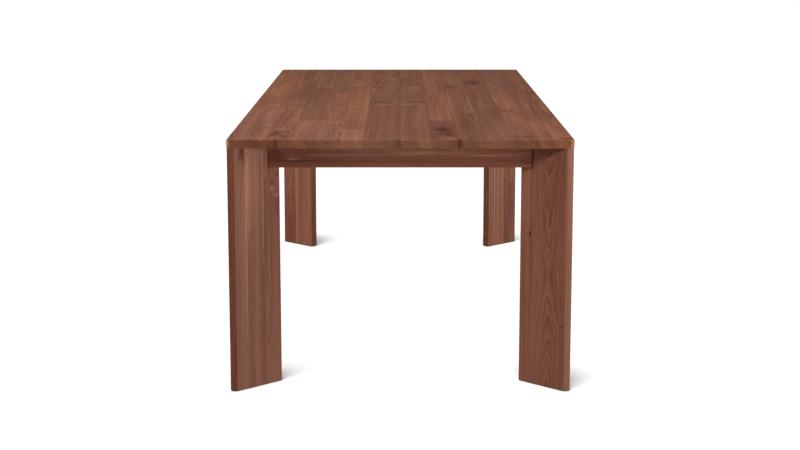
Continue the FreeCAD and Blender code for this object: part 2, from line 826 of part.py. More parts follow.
def export(nodes):
    """Write each sub-part to a file of its own name."""
    os.makedirs("parts", exist_ok=True)
    for node in nodes:
        node.Shape.exportStep(f"parts/{node.Label}.step")
        solids = len(node.Shape.Solids)
        print(f"{node.Label}: {solids} solids, {node.Shape.Volume / 1000:.1f} cm3")


table = make_table()
check(table)
export(table)
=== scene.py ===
import math
from collections import namedtuple

import bmesh
import bpy
from bpy.props import FloatProperty, FloatVectorProperty, PointerProperty
from bpy.types import Operator, Panel, PropertyGroup
from mathutils import Matrix, Vector


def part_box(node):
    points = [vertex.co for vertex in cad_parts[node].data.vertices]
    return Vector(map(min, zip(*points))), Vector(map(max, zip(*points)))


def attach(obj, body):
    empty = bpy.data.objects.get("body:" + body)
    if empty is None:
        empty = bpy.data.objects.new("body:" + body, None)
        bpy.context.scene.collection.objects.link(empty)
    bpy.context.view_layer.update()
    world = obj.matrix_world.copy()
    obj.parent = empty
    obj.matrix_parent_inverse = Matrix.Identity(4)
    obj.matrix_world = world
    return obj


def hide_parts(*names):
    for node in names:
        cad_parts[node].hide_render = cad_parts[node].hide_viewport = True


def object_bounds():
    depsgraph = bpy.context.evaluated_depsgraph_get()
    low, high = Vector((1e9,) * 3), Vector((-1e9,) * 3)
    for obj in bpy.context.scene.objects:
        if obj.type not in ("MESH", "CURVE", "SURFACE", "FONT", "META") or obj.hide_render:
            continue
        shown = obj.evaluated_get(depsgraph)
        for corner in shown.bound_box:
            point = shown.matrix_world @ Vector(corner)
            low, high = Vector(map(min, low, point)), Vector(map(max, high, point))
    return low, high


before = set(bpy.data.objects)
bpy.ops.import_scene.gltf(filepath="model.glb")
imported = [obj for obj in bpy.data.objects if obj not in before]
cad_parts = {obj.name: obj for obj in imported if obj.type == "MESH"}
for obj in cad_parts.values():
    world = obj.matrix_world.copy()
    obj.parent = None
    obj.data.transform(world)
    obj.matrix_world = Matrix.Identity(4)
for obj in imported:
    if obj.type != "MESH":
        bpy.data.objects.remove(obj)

bl_info = {
    "name": "Walnut Dining Table",
    "version": (1, 0, 0),
    "blender": (4, 5, 0),
    "location": "View3D > Sidebar > Table",
    "description": "Finishes the boards and the hardware of a walnut dining table and lights it",
    "category": "Object",
}

TABLE_LOW, TABLE_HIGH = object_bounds()
TABLE_LENGTH = TABLE_HIGH.y - TABLE_LOW.y
TABLE_WIDTH = TABLE_HIGH.x - TABLE_LOW.x

# Staves of each row of the top from the near end: tone, curl of the grain, and the cut of the board, which
# is where the heart of the trunk lies across it and below it and how it leans along it, each from 0 to 1
TOP_STAVES = (
    (
        ("rosy", 0.5, (0.30, 0.30, 0.62)),
        ("amber", 1.0, (0.72, 0.10, 0.40)),
    ),
    (
        ("brown", 1.0, (0.55, 0.15, 0.58)),
        ("dusk", 0.3, (0.10, 0.40, 0.52)),
        ("grey", 0.3, (0.88, 0.50, 0.45)),
    ),
    (
        ("rosy", 0.2, (0.12, 0.30, 0.47)),
        ("dusk", 0.2, (0.90, 0.45, 0.52)),
        ("grey", 0.2, (0.08, 0.60, 0.50)),
    ),
    (
        ("rosy", 0.8, (0.60, 0.22, 0.40)),
        ("brown", 0.6, (0.52, 0.12, 0.22)),
        ("grey", 0.4, (0.45, 0.20, 0.62)),
    ),
    (
        ("pale", 0.2, (0.15, 0.40, 0.52)),
        ("amber", 0.2, (0.85, 0.60, 0.48)),
        ("brown", 0.4, (0.60, 0.20, 0.60)),
    ),
    (
        ("dusk", 0.3, (0.82, 0.40, 0.55)),
        ("grey", 0.6, (0.42, 0.25, 0.30)),
    ),
    (
        ("dusk", 0.3, (0.20, 0.30, 0.45)),
        ("dusk", 0.5, (0.64, 0.28, 0.66)),
        ("grey", 0.3, (0.10, 0.50, 0.50)),
    ),
    (
        ("umber", 0.4, (0.45, 0.12, 0.40)),
        ("amber", 0.2, (0.88, 0.50, 0.47)),
        ("brown", 0.2, (0.15, 0.50, 0.55)),
    ),
    (
        ("umber", 0.3, (0.18, 0.30, 0.55)),
        ("dusk", 0.4, (0.85, 0.35, 0.44)),
        ("grey", 0.3, (0.90, 0.60, 0.50)),
    ),
    (
        ("dusk", 0.4, (0.35, 0.20, 0.62)),
        ("dusk", 0.4, (0.68, 0.22, 0.36)),
    ),
    (
        ("brown", 0.4, (0.45, 0.15, 0.66)),
        ("brown", 0.4, (0.28, 0.22, 0.38)),
        ("grey", 0.3, (0.85, 0.40, 0.50)),
    ),
    (
        ("amber", 0.3, (0.16, 0.30, 0.48)),
        ("dusk", 0.7, (0.58, 0.15, 0.68)),
        ("grey", 0.4, (0.30, 0.40, 0.45)),
    ),
)
# Marks in the top: kind, distance from the left edge, share of the length from the near end, reach across
# and along, strength. Distances in metres.
TOP_MARKS = {
    1: (
        ("bloom", 0.028, 0.610, 0.008, 0.120, 0.40),
        ("bloom", 0.052, 0.560, 0.012, 0.050, 0.35),
        ("bloom", 0.080, 0.400, 0.016, 0.020, 0.40),
        ("bloom", 0.022, 0.840, 0.010, 0.180, 0.35),
        ("smoke", 0.062, 0.056, 0.010, 0.030, 0.40),
        ("bloom", 0.100, 0.150, 0.014, 0.014, 0.60),
        # Painted highlight: a strong pale mark on the rounded near left corner of the top
        ("bloom", 0.002, 0.000, 0.0045, 0.007, 1.80),
    ),
    2: (
        ("smoke", 0.133, 0.060, 0.018, 0.070, 0.90),
        ("smoke", 0.141, 0.000, 0.006, 0.020, 0.90),
        ("bloom", 0.140, 0.110, 0.016, 0.016, 0.55),
        ("bloom", 0.166, 0.148, 0.012, 0.012, 0.50),
        ("bloom", 0.140, 0.356, 0.026, 0.009, 0.60),
    ),
    4: (
        ("knot", 0.322, 0.006, 0.006, 0.020, 0.80),
        ("bloom", 0.286, 0.185, 0.028, 0.030, 0.30),
        ("bloom", 0.302, 0.356, 0.016, 0.010, 0.60),
        ("bloom", 0.290, 0.492, 0.018, 0.010, 0.50),
    ),
    5: (
        ("bloom", 0.338, 0.706, 0.010, 0.035, 0.70),
    ),
    6: (
        ("bloom", 0.446, 0.408, 0.046, 0.009, 0.80),
        ("smoke", 0.432, 0.432, 0.036, 0.026, 0.50),
        ("bloom", 0.401, 0.615, 0.008, 0.080, 0.55),
        ("bloom", 0.470, 0.815, 0.017, 0.075, 0.40),
        ("smoke", 0.498, 0.000, 0.008, 0.020, 0.50),
    ),
    7: (
        ("bloom", 0.538, 0.408, 0.036, 0.010, 0.90),
        ("smoke", 0.556, 0.437, 0.022, 0.030, 0.70),
        ("smoke", 0.557, 0.710, 0.022, 0.060, 0.45),
        ("bloom", 0.560, 0.662, 0.018, 0.014, 0.50),
    ),
    8: (
        ("smoke", 0.628, 0.105, 0.026, 0.095, 1.00),
        ("smoke", 0.641, 0.055, 0.018, 0.036, 0.85),
        ("smoke", 0.603, 0.000, 0.006, 0.020, 0.60),
        ("bloom", 0.644, 0.013, 0.014, 0.014, 0.75),
        ("bloom", 0.636, 0.526, 0.030, 0.009, 0.50),
    ),
    9: (
        ("bloom", 0.672, 0.450, 0.004, 0.400, 0.50),
        ("bloom", 0.742, 0.400, 0.004, 0.550, 0.45),
        ("smoke", 0.690, 0.660, 0.012, 0.040, 0.45),
        ("smoke", 0.668, 0.000, 0.008, 0.020, 1.00),
    ),
    10: (
        ("knot", 0.798, 0.420, 0.009, 0.018, 0.80),
        ("bloom", 0.801, 0.390, 0.016, 0.012, 0.75),
        ("knot", 0.786, 0.708, 0.009, 0.020, 0.70),
        ("bloom", 0.780, 0.676, 0.014, 0.014, 0.60),
        ("smoke", 0.785, 0.745, 0.026, 0.070, 0.80),
    ),
    11: (
        ("smoke", 0.866, 0.030, 0.032, 0.018, 0.60),
        ("bloom", 0.833, 0.475, 0.005, 0.170, 0.55),
        ("bloom", 0.872, 0.400, 0.024, 0.060, 0.20),
    ),
    12: (
        ("smoke", 0.982, 0.010, 0.014, 0.013, 3.00),
        # Painted highlight: a strong pale mark on the rounded near right corner of the top
        ("bloom", 0.993, 0.000, 0.0035, 0.006, 2.00),
        ("smoke", 0.985, 0.110, 0.014, 0.110, 0.45),
        ("bloom", 0.934, 0.395, 0.004, 0.110, 0.50),
        ("bloom", 0.982, 0.335, 0.004, 0.130, 0.50),
    ),
}
# Marks on the front edge of the top: the rows of staves that a mark crosses, and the mark told as above
EDGE_MARKS = (
    ((1, 2), ("rust", 0.075, 0.000, 0.060, 0.003, 0.95)),
    ((3, 4), ("rust", 0.240, 0.000, 0.060, 0.003, 0.30)),
    ((5, 6), ("bloom", 0.415, 0.000, 0.060, 0.003, 0.30)),
    ((7, 8), ("bloom", 0.575, 0.000, 0.050, 0.003, 0.45)),
    ((9, 10), ("bloom", 0.750, 0.000, 0.060, 0.003, 0.20)),
)
# Depth of a leg's nose, up to its shoulders
NOSE_DEPTH = 0.0164
# Nose and boards of each leg from the outer end, told as the staves are
LEG_BOARDS = {
    "near_left": (
        ("ruddy", 0.4, (0.10, 0.30, 0.50)),
        ("grey", 0.2, (0.10, 0.30, 0.50)),
        ("umber", 0.2, (0.12, 0.40, 0.50)),
        ("umber", 0.4, (0.86, 0.25, 0.53)),
    ),
    "near_right": (
        ("brown", 0.4, (0.30, 0.30, 0.50)),
        ("russet", 1.0, (0.695, 0.06, 0.15)),
        ("russet", 1.0, (0.695, 0.06, 0.15)),
        ("amber", 0.2, (0.10, 0.40, 0.50)),
    ),
    "far_right": (
        ("brown", 0.5, (0.90, 0.40, 0.52)),
        ("brown", 0.8, (0.90, 0.40, 0.52)),
        ("amber", 0.8, (0.10, 0.40, 0.48)),
    ),
    "far_left": (
        ("brown", 0.2, (0.90, 0.40, 0.50)),
        ("russet", 0.5, (0.90, 0.40, 0.50)),
        ("amber", 0.5, (0.12, 0.40, 0.50)),
    ),
}
# Height at which the arches of a leg's grain turn over
LEG_ARCHES = {"near_right": 0.36}
# Marks in the legs: kind, distance from the corner, distance below the top's underside, reach across and
# along, strength
LEG_MARKS = {
    "near_left": (
        ("rust", 0.006, 0.36, 0.014, 2.00, 0.45),
        # Painted shadow of the top on the leg, just under its underside near the outer end
        ("smoke", 0.049, 0.008, 0.012, 0.030, 1.50),
        ("rust", 0.049, 0.008, 0.012, 0.030, 0.60),
        # Painted shade in the groove where the near rail meets the leg
        ("smoke", 0.1465, 0.036, 0.0030, 0.036, 1.20),
        ("bloom", 0.070, 0.110, 0.014, 0.140, 0.36),
        ("bloom", 0.100, 0.090, 0.026, 0.130, 0.26),
        ("bloom", 0.0585, 0.24, 0.0035, 0.42, 0.70),
        ("bloom", 0.066, 0.10, 0.006, 0.13, 0.40),
        ("bloom", 0.123, 0.16, 0.003, 0.16, 0.60),
        ("knot", 0.178, 0.090, 0.006, 0.012, 0.7),
        ("knot", 0.160, 0.116, 0.006, 0.008, 0.6),
        ("bloom", 0.160, 0.133, 0.008, 0.007, 0.6),
        ("bloom", 0.176, 0.151, 0.008, 0.006, 0.5),
        ("smoke", 0.180, 0.175, 0.012, 0.040, 0.5),
    ),
    "near_right": (
        # Painted shade in the groove where the near rail meets the leg
        ("smoke", 0.1465, 0.036, 0.0035, 0.036, 2.00),
        ("rust", 0.1465, 0.036, 0.0035, 0.036, 1.50),
        ("knot", 0.151, 0.266, 0.0050, 0.015, 1.00),
        ("smoke", 0.150, 0.298, 0.004, 0.014, 0.5),
        ("knot", 0.055, 0.254, 0.003, 0.004, 0.6),
        ("knot", 0.022, 0.525, 0.006, 0.008, 0.6),
        ("smoke", 0.100, 0.600, 0.300, 0.420, 0.22),
        ("bloom", 0.130, 0.350, 0.024, 0.500, 0.20),
        ("rust", 0.178, 0.360, 0.024, 1.000, 0.30),
        ("smoke", 0.045, 0.300, 0.030, 0.500, 0.12),
    ),
    "far_right": (
        # Painted shade: darker along the whole inner end of the leg, which stands under the top
        ("rust", 0.191, 0.36, 0.005, 2.00, 0.8),
        ("smoke", 0.191, 0.36, 0.005, 2.00, 0.9),
        ("bloom", 0.095, 0.25, 0.085, 0.28, 0.30),
        ("bloom", 0.182, 0.20, 0.0035, 0.40, 1.00),
        ("rust", 0.175, 0.35, 0.0025, 0.60, 1.30),
        ("bloom", 0.168, 0.25, 0.0040, 0.40, 0.95),
        ("rust", 0.159, 0.35, 0.0025, 0.50, 1.20),
        ("bloom", 0.151, 0.30, 0.0050, 0.45, 0.90),
        ("rust", 0.142, 0.35, 0.0025, 0.40, 1.10),
        ("bloom", 0.128, 0.30, 0.0070, 0.40, 0.50),
        ("bloom", 0.104, 0.22, 0.0090, 0.30, 0.75),
        ("rust", 0.084, 0.35, 0.0050, 0.60, 1.40),
        ("smoke", 0.059, 0.35, 0.0030, 0.40, 0.90),
        ("bloom", 0.047, 0.25, 0.0070, 0.30, 0.30),
        ("smoke", 0.028, 0.20, 0.010, 0.14, 0.90),
        ("smoke", 0.045, 0.53, 0.016, 0.10, 0.90),
    ),
    "far_left": (
        # Painted shade: darker along the whole inner end of the leg, which stands under the top
        ("rust", 0.191, 0.36, 0.005, 2.00, 0.6),
        ("smoke", 0.191, 0.36, 0.005, 2.00, 0.5),
        ("bloom", 0.0905, 0.15, 0.004, 0.28, 0.6),
        ("rust", 0.055, 0.16, 0.020, 0.14, 0.4),
        ("bloom", 0.050, 0.30, 0.050, 0.20, 0.25),
        ("rust", 0.045, 0.66, 0.060, 0.16, 0.5),
    ),
}
# Rails and cross rails: tone, curl and cut
RAIL_BOARDS = {
    "end_rail_near": ("ruddy", 1.0, (0.30, 0.10, 0.44)),
    "side_rail_right": ("russet", 0.3, (0.72, 0.30, 0.53)),
    "end_rail_far": ("russet", 0.3, (0.25, 0.40, 0.52)),
    "side_rail_left": ("russet", 0.3, (0.22, 0.25, 0.47)),
    "cross_rail_near": ("grey", 0.3, (0.80, 0.30, 0.51)),
    "cross_rail_far": ("grey", 0.3, (0.18, 0.50, 0.49)),
}
# Marks in the rails: kind, height above the lower edge, distance from the start of the rail, reach up and
# along, strength
RAIL_MARKS = {
    "end_rail_near": (
        ("rust", 0.034, 0.075, 0.060, 0.080, 0.35),
        ("bloom", 0.034, 0.340, 0.060, 0.170, 0.12),
        ("smoke", 0.042, 0.018, 0.018, 0.022, 0.75),
        ("smoke", 0.021, 0.080, 0.0045, 0.085, 1.00),
        ("knot", 0.018, 0.086, 0.005, 0.016, 0.55),
        ("bloom", 0.026, 0.072, 0.004, 0.018, 0.45),
        ("smoke", 0.046, 0.200, 0.0020, 0.190, 0.45),
        ("bloom", 0.052, 0.330, 0.0060, 0.300, 0.12),
        ("bloom", 0.038, 0.200, 0.0030, 0.120, 0.30),
        ("rust", 0.020, 0.300, 0.008, 0.160, 0.90),
        ("bloom", 0.042, 0.450, 0.006, 0.110, 0.40),
        ("bloom", 0.036, 0.640, 0.003, 0.060, 0.50),
        ("smoke", 0.049, 0.735, 0.003, 0.045, 0.75),
        ("smoke", 0.022, 0.720, 0.003, 0.060, 0.55),
        ("knot", 0.013, 0.750, 0.003, 0.010, 0.50),
        ("bloom", 0.005, 0.755, 0.002, 0.024, 0.50),
    ),
}
# Corners: side and end of the table, and the angle in degrees of the leg that runs in from the corner
CORNERS = {
    "near_left": (-1, -1, 45),
    "near_right": (1, -1, 135),
    "far_right": (1, 1, 225),
    "far_left": (-1, 1, 315),
}
# Soft boxes of the studio: place, width and height
SOFT_BOXES = {
    "overhead_light": ((0.0, -1.2, 6.3), (3.0, 3.0)),
    "left_light": ((-5.6, -2.3, 1.44), (0.4, 0.4)),
    "right_light": ((4.2, -4.8, 0.85), (2.0, 1.4)),
}
# Point in the near half of the table that the soft boxes look at
LIGHT_AIM = (0.0, -0.4, 0.5)
# Way in which the light of the floor travels
FLOOR_LIGHT_WAY = (0.064, 0.23, -0.97)
# Width of the camera's sensor in millimetres
SENSOR_WIDTH = 36.0


class WoodFinish(PropertyGroup):
    """Colours and grain of the walnut."""

    brown: FloatVectorProperty(
        name="Brown", description="Tone of a plain stave", subtype="COLOR", default=(0.230, 0.0990, 0.0615)
    )
    pale: FloatVectorProperty(
        name="Pale", description="Tone of a light stave", subtype="COLOR", default=(0.275, 0.1210, 0.0755)
    )
    rosy: FloatVectorProperty(
        name="Rosy", description="Tone of a pinkish stave", subtype="COLOR", default=(0.263, 0.1170, 0.0760)
    )
    amber: FloatVectorProperty(
        name="Amber", description="Tone of an orange stave", subtype="COLOR", default=(0.255, 0.1060, 0.0635)
    )
    grey: FloatVectorProperty(
        name="Grey", description="Tone of a dull stave", subtype="COLOR", default=(0.210, 0.0955, 0.0605)
    )
    dusk: FloatVectorProperty(
        name="Dusk", description="Tone of a dark stave", subtype="COLOR", default=(0.206, 0.0890, 0.0570)
    )
    umber: FloatVectorProperty(
        name="Umber", description="Tone of a deep brown board", subtype="COLOR",
        default=(0.190, 0.0800, 0.0520),
    )
    russet: FloatVectorProperty(
        name="Russet", description="Tone of a red-brown board", subtype="COLOR",
        default=(0.206, 0.0780, 0.0466),
    )
    ruddy: FloatVectorProperty(
        name="Ruddy", description="Tone of a dark red board", subtype="COLOR", default=(0.154, 0.0545, 0.0335)
    )
    # Also the colour of the painted highlights on the near corners of the top
    sapwood_and_highlight: FloatVectorProperty(
        name="Sapwood", description="Colour of pale streaks", subtype="COLOR", default=(0.400, 0.1950, 0.1200)
    )
    knot: FloatVectorProperty(
        name="Knot", description="Colour at the heart of a knot", subtype="COLOR",
        default=(0.030, 0.0170, 0.0130),
    )
    # The smoke and rust tints also darken the painted shade and shadows in the legs
    dark_and_shade_tint: FloatVectorProperty(
        name="Smoke", description="Tint of dark patches", subtype="COLOR", default=(0.52, 0.48, 0.57)
    )
    red_and_shade_tint: FloatVectorProperty(
        name="Rust", description="Tint of reddish heartwood", subtype="COLOR", default=(0.74, 0.60, 0.55)
    )
    ring_pitch: FloatProperty(
        name="Ring Pitch", description="Width of a year ring", unit="LENGTH", default=0.0055
    )
    end_tint: FloatVectorProperty(
        name="End Grain", description="Tint that oil gives end grain", subtype="COLOR",
        default=(0.735, 0.68, 0.61),
    )
    roughness: FloatProperty(
        name="Roughness", description="Roughness of the oiled face", subtype="FACTOR", default=0.52
    )
    gloss: FloatProperty(
        name="Gloss", description="Strength of the oil's sheen", subtype="FACTOR", default=0.0
    )


class HardwareFinish(PropertyGroup):
    """Sizes and colours of the metal and plastic fittings."""

    zinc: FloatVectorProperty(
        name="Zinc", description="Bright zinc plating", subtype="COLOR", default=(0.52, 0.53, 0.54)
    )
    plate_tarnish: FloatVectorProperty(
        name="Plate Tarnish", description="Dull zinc of the plates", subtype="COLOR",
        default=(0.40, 0.41, 0.43),
    )
    plate_roughness: FloatProperty(
        name="Plate Roughness", description="Roughness of dull plates", subtype="FACTOR", default=0.54
    )
    bolt_tarnish: FloatVectorProperty(
        name="Bolt Tarnish", description="Dull zinc of the bolts", subtype="COLOR", default=(0.44, 0.45, 0.48)
    )
    bolt_roughness: FloatProperty(
        name="Bolt Roughness", description="Roughness of dull bolts", subtype="FACTOR", default=0.48
    )
    brass_zinc: FloatVectorProperty(
        name="Yellow Zinc", description="Yellow zinc plating", subtype="COLOR", default=(0.60, 0.47, 0.22)
    )
    screw_tarnish: FloatVectorProperty(
        name="Screw Tarnish", description="Dull plating of the screws", subtype="COLOR",
        default=(0.52, 0.38, 0.20),
    )
    screw_roughness: FloatProperty(
        name="Screw Roughness", description="Roughness of dull screws", subtype="FACTOR", default=0.50
    )
    nylon: FloatVectorProperty(
        name="Nylon", description="Colour of the glides", subtype="COLOR", default=(0.055, 0.040, 0.032)
    )
    beech: FloatVectorProperty(
        name="Beech", description="Colour of the dowels", subtype="COLOR", default=(0.52, 0.33, 0.18)
    )
    bolt_diameter: FloatProperty(
        name="Bolt", description="Diameter of the leg bolts", unit="LENGTH", default=0.008
    )
    thread_pitch: FloatProperty(
        name="Thread Pitch", description="Climb of the bolt's thread in a turn", unit="LENGTH",
        default=0.00125,
    )
    washer_diameter: FloatProperty(
        name="Washer", description="Diameter of the washers", unit="LENGTH", default=0.020
    )
    nut_flats: FloatProperty(
        name="Nut", description="Width of the nuts across their flats", unit="LENGTH", default=0.013
    )
    screw_diameter: FloatProperty(
        name="Screw", description="Diameter of a screw's shank", unit="LENGTH", default=0.004
    )
    head_diameter: FloatProperty(
        name="Screw Head", description="Diameter of a screw's head", unit="LENGTH", default=0.008
    )
    head_height: FloatProperty(
        name="Head Height", description="Height of a screw's head", unit="LENGTH", default=0.0025
    )
    glide_diameter: FloatProperty(
        name="Glide", description="Diameter of the glides", unit="LENGTH", default=0.018
    )


class StageSettings(PropertyGroup):
    """Camera, lights and floor."""

    camera_place: FloatVectorProperty(
        name="Camera", description="Place of the camera", subtype="TRANSLATION",
        default=(-0.0047, -5.9376, 1.3439),
    )
    camera_pitch: FloatProperty(
        name="Pitch", description="Angle of the camera below level", subtype="ANGLE", default=0.176725
    )
    camera_turn: FloatProperty(
        name="Turn", description="Turn of the camera to the left", subtype="ANGLE", default=-0.000792
    )
    lens: FloatProperty(
        name="Lens", description="Focal length", unit="CAMERA", default=75.03
    )
    overhead_light: FloatProperty(
        name="Overhead Light", description="Power of the soft box above", unit="POWER", default=265
    )
    left_light: FloatProperty(
        name="Left Light", description="Power of the small light at the left", unit="POWER", default=206
    )
    right_light: FloatProperty(
        name="Right Light", description="Power of the low soft box at the right", unit="POWER", default=230
    )
    floor_light: FloatProperty(
        name="Floor Light", description="Strength of the steep light on the floor", default=3.3
    )
    floor_light_spread: FloatProperty(
        name="Floor Light Spread", description="Angle that the light of the floor takes up", subtype="ANGLE",
        default=math.radians(16),
    )
    ambient: FloatProperty(
        name="Ambient", description="Strength of the light from all round", default=0.21
    )
    floor_shade: FloatProperty(
        name="Floor Shade", description="Grey of the floor as the camera sees it", default=0.82
    )
    floor_return: FloatProperty(
        name="Floor Return", description="Share of the light that the floor throws back at the table",
        default=0.49,
    )
    floor_lift: FloatProperty(
        name="Floor Lift", description="White added to the floor as the camera sees it", default=0.14
    )
    floor_reach: FloatProperty(
        name="Floor Reach", description="Half the side of the floor", unit="LENGTH", default=90.0
    )


# Noise: how often it changes in a metre across, through and along, its detail and roughness, and its weight
# in what it changes
Noise = namedtuple("Noise", "scale detail roughness weight", defaults=(1.0,))
# Middle of its values
NOISE_MIDDLE = 0.5
# Sockets of a mix node that take and give colours
MIX_FIRST, MIX_SECOND, MIX_RESULT = 6, 7, 2


class Tree:
    """Adds nodes to a tree. Most methods return the socket that carries their result."""

    def __init__(self, tree):
        self.tree = tree

    def add(self, kind, inputs=(), **settings):
        """New node with its settings, its inputs filled with values or linked to sockets."""
        node = self.tree.nodes.new(kind)
        for name, setting in settings.items():
            setattr(node, name, setting)
        for key, content in dict(inputs).items():
            self.feed(node.inputs[key], content)
        return node

    def feed(self, socket, content):
        """Fill an input with a value or link it to a socket."""
        if isinstance(content, bpy.types.NodeSocket):
            self.tree.links.new(content, socket)
        else:
            socket.default_value = content

    def math(self, operation, *terms, clamp=False):
        """Number worked out from up to three others."""
        node = self.add("ShaderNodeMath", enumerate(terms), operation=operation, use_clamp=clamp)
        return node.outputs[0]

    def between(self, share, ends):
        """Number between two ends."""
        low, high = ends
        return self.math("MULTIPLY_ADD", share, high - low, low)

    def swayed(self, value, level, weight):
        """Number moved up and down by a level of noise about its middle."""
        return self.math("MULTIPLY_ADD", self.math("SUBTRACT", level, NOISE_MIDDLE), weight, value)

    def vector(self, operation, *terms):
        """Vector worked out from others."""
        return self.add("ShaderNodeVectorMath", enumerate(terms), operation=operation).outputs["Vector"]

    def length(self, vector):
        """Length of a vector."""
        return self.add("ShaderNodeVectorMath", {0: vector}, operation="LENGTH").outputs["Value"]

    def scaled(self, vector, factor):
        """Vector times a number."""
        node = self.add("ShaderNodeVectorMath", {0: vector, "Scale": factor}, operation="SCALE")
        return node.outputs["Vector"]

    def split(self, vector):
        """The three parts of a vector."""
        return self.add("ShaderNodeSeparateXYZ", {0: vector}).outputs

    def joined(self, x, y, z):
        """Vector of three parts."""
        return self.add("ShaderNodeCombineXYZ", {0: x, 1: y, 2: z}).outputs[0]

    def coords(self):
        """Place in the table."""
        return self.add("ShaderNodeTexCoord").outputs["Object"]

    def noise(self, place, noise):
        """Noise at a place, as a level and as a colour."""
        inputs = {
            "Vector": self.vector("MULTIPLY", place, noise.scale), "Scale": 1.0,
            "Detail": noise.detail, "Roughness": noise.roughness,
        }
        return self.add("ShaderNodeTexNoise", inputs).outputs

    def centred(self, place, noise):
        """Vector of noise about its middle."""
        return self.vector("SUBTRACT", self.noise(place, noise)["Color"], (NOISE_MIDDLE,) * 3)

    def blend(self, factor, first, second, kind="MIX"):
        """Colour between two others."""
        inputs = {"Factor": factor, MIX_FIRST: first, MIX_SECOND: second}
        return self.add("ShaderNodeMix", inputs, data_type="RGBA", blend_type=kind).outputs[MIX_RESULT]

    def step(self, value, low, high, at_low=0.0, at_high=1.0):
        """Smooth step between two levels."""
        inputs = {0: value, 1: low, 2: high, 3: at_low, 4: at_high}
        return self.add("ShaderNodeMapRange", inputs, interpolation_type="SMOOTHSTEP").outputs[0]

    def ramp(self, factor, stops):
        """Colour ramp that steps from stop to stop, each given as a place and a colour."""
        node = self.add("ShaderNodeValToRGB", {0: factor})
        ramp = node.color_ramp
        ramp.interpolation = "CONSTANT"
        while len(ramp.elements) < len(stops):
            ramp.elements.new(1.0)
        for element, (place, colour) in zip(ramp.elements, stops):
            element.position = place
            element.color = colour
        return node.outputs


def new_group(name, inputs, outputs):
    """Empty node group with its sockets, its input node's sockets and a tree to fill."""
    group = bpy.data.node_groups.new(name, "ShaderNodeTree")
    for label, kind in inputs:
        group.interface.new_socket(label, in_out="INPUT", socket_type=f"NodeSocket{kind}")
    for label, kind in outputs:
        group.interface.new_socket(label, in_out="OUTPUT", socket_type=f"NodeSocket{kind}")
    tree = Tree(group)
    return group, tree, tree.add("NodeGroupInput").outputs


# Ragged edge of a mark, its weight the share of the mark's reach that it strays
MARK_EDGE = Noise((70.0, 70.0, 22.0), 2.0, 0.5, 1.6)


def mark_group():
    """Group that fades from the middle of a mark in a board to nothing."""
    inputs = (("Position", "Vector"), ("Centre", "Vector"), ("Reach", "Vector"))
    group, tree, given = new_group("walnut_mark", inputs, (("Mask", "Float"),))
    stray = tree.vector("MULTIPLY", tree.centred(given["Position"], MARK_EDGE), given["Reach"])
    offset = tree.vector("SUBTRACT", given["Position"], given["Centre"])
    offset = tree.vector("ADD", offset, tree.scaled(stray, MARK_EDGE.weight))
    parts = tree.split(tree.vector("DIVIDE", offset, given["Reach"]))
    flat = tree.joined(parts[0], 0.0, parts[2])
    square = tree.math("POWER", tree.length(flat), 2.0)
    mask = tree.math("EXPONENT", tree.math("MULTIPLY", square, -1.0))
    tree.add("NodeGroupOutput", {"Mask": mask})
    return group


# Noise that bends the grain, its weight a push in metres
WANDER = Noise((3.5, 3.5, 0.9), 2.0, 0.5, 0.05)
CURL = Noise((15.0, 15.0, 5.5), 2.0, 0.5, 0.022)
RIPPLE = Noise((60.0, 60.0, 4.0), 2.0, 0.5, 0.004)
# Noise that tints the grain, its weight a share of the light. Bands take in several rings.
BANDS = Noise((75.0, 1.0, 1.0), 3.0, 0.6, 0.6)
STREAKS = Noise((42.0, 42.0, 1.0), 3.0, 0.55, 0.55)
FIBRES = Noise((330.0, 330.0, 7.0), 2.0, 0.6, 0.4)
CLOUDS = Noise((9.0, 9.0, 1.6), 2.0, 0.5, 0.6)
PORES = Noise((1100.0, 1100.0, 22.0), 1.0, 0.5, -0.18)
# Levels of their noise between which the pores open, and the rings that a band crowds together
PORE_LEVELS = (0.58, 0.72)
BAND_CROWDING = 2.0
# Shift of the noise from board to board, times the board's cut
CUT_SHIFT = (17.0, 23.0, 31.0)
# What a cut of 0 and of 1 means: metres across the board, metres below it, and lean in a metre along it
HEART_ACROSS = (-0.20, 0.20)
HEART_DEPTH = (-0.02, -0.14)
HEART_LEAN = (-0.08, 0.08)
# Rounding of the arches of the grain in metres
ARCH_ROUNDING = 0.04
# Sharpness of the pale start and the dark end of a ring, weight of the start beside the end, and weight of
# both in the light of a straight and of a curly board
EARLY_SHARPNESS = 5.0
LATE_SHARPNESS = 4.0
EARLY_WEIGHT = 0.75
RING_WEIGHT = (0.10, 0.44)
# Light of plain wood, and what the darkest and the lightest wood make of a tone
PLAIN_LIGHT = 0.52
DARKEST = (0.52, 0.48, 0.52, 1.0)
LIGHTEST = (1.42, 1.46, 1.42, 1.0)
# Strength of a mark in the darkest and in the lightest band
MARK_BANDS = {"Smoke": (0.6, 1.4), "Rust": (0.7, 1.3), "Bloom": (0.6, 1.1)}
# How squarely a face cuts the grain, from where it starts to look like end grain to where it is
END_FACING = (0.72, 0.95)
# Roughness that pores and dark rings add, and the height of pores, fibres and dark rings
PORE_ROUGHNESS = 0.14
LATE_ROUGHNESS = -0.06
PORE_HEIGHT = -1.0
FIBRE_HEIGHT = 0.5
LATE_HEIGHT = 0.25


def grain_push(tree, place, noise):
    """Sideways push of the grain by noise."""
    return tree.vector("MULTIPLY", tree.centred(place, noise), (noise.weight, noise.weight, 0.0))


def bent_place(tree, given, place):
    """Parts of the place in a board whose grain is bent."""
    slow = tree.vector("ADD", given["Position"], grain_push(tree, place, WANDER))
    curl = tree.scaled(grain_push(tree, place, CURL), given["Curl"])
    quick = tree.vector("ADD", curl, grain_push(tree, place, RIPPLE))
    return tree.split(tree.vector("ADD", slow, quick))


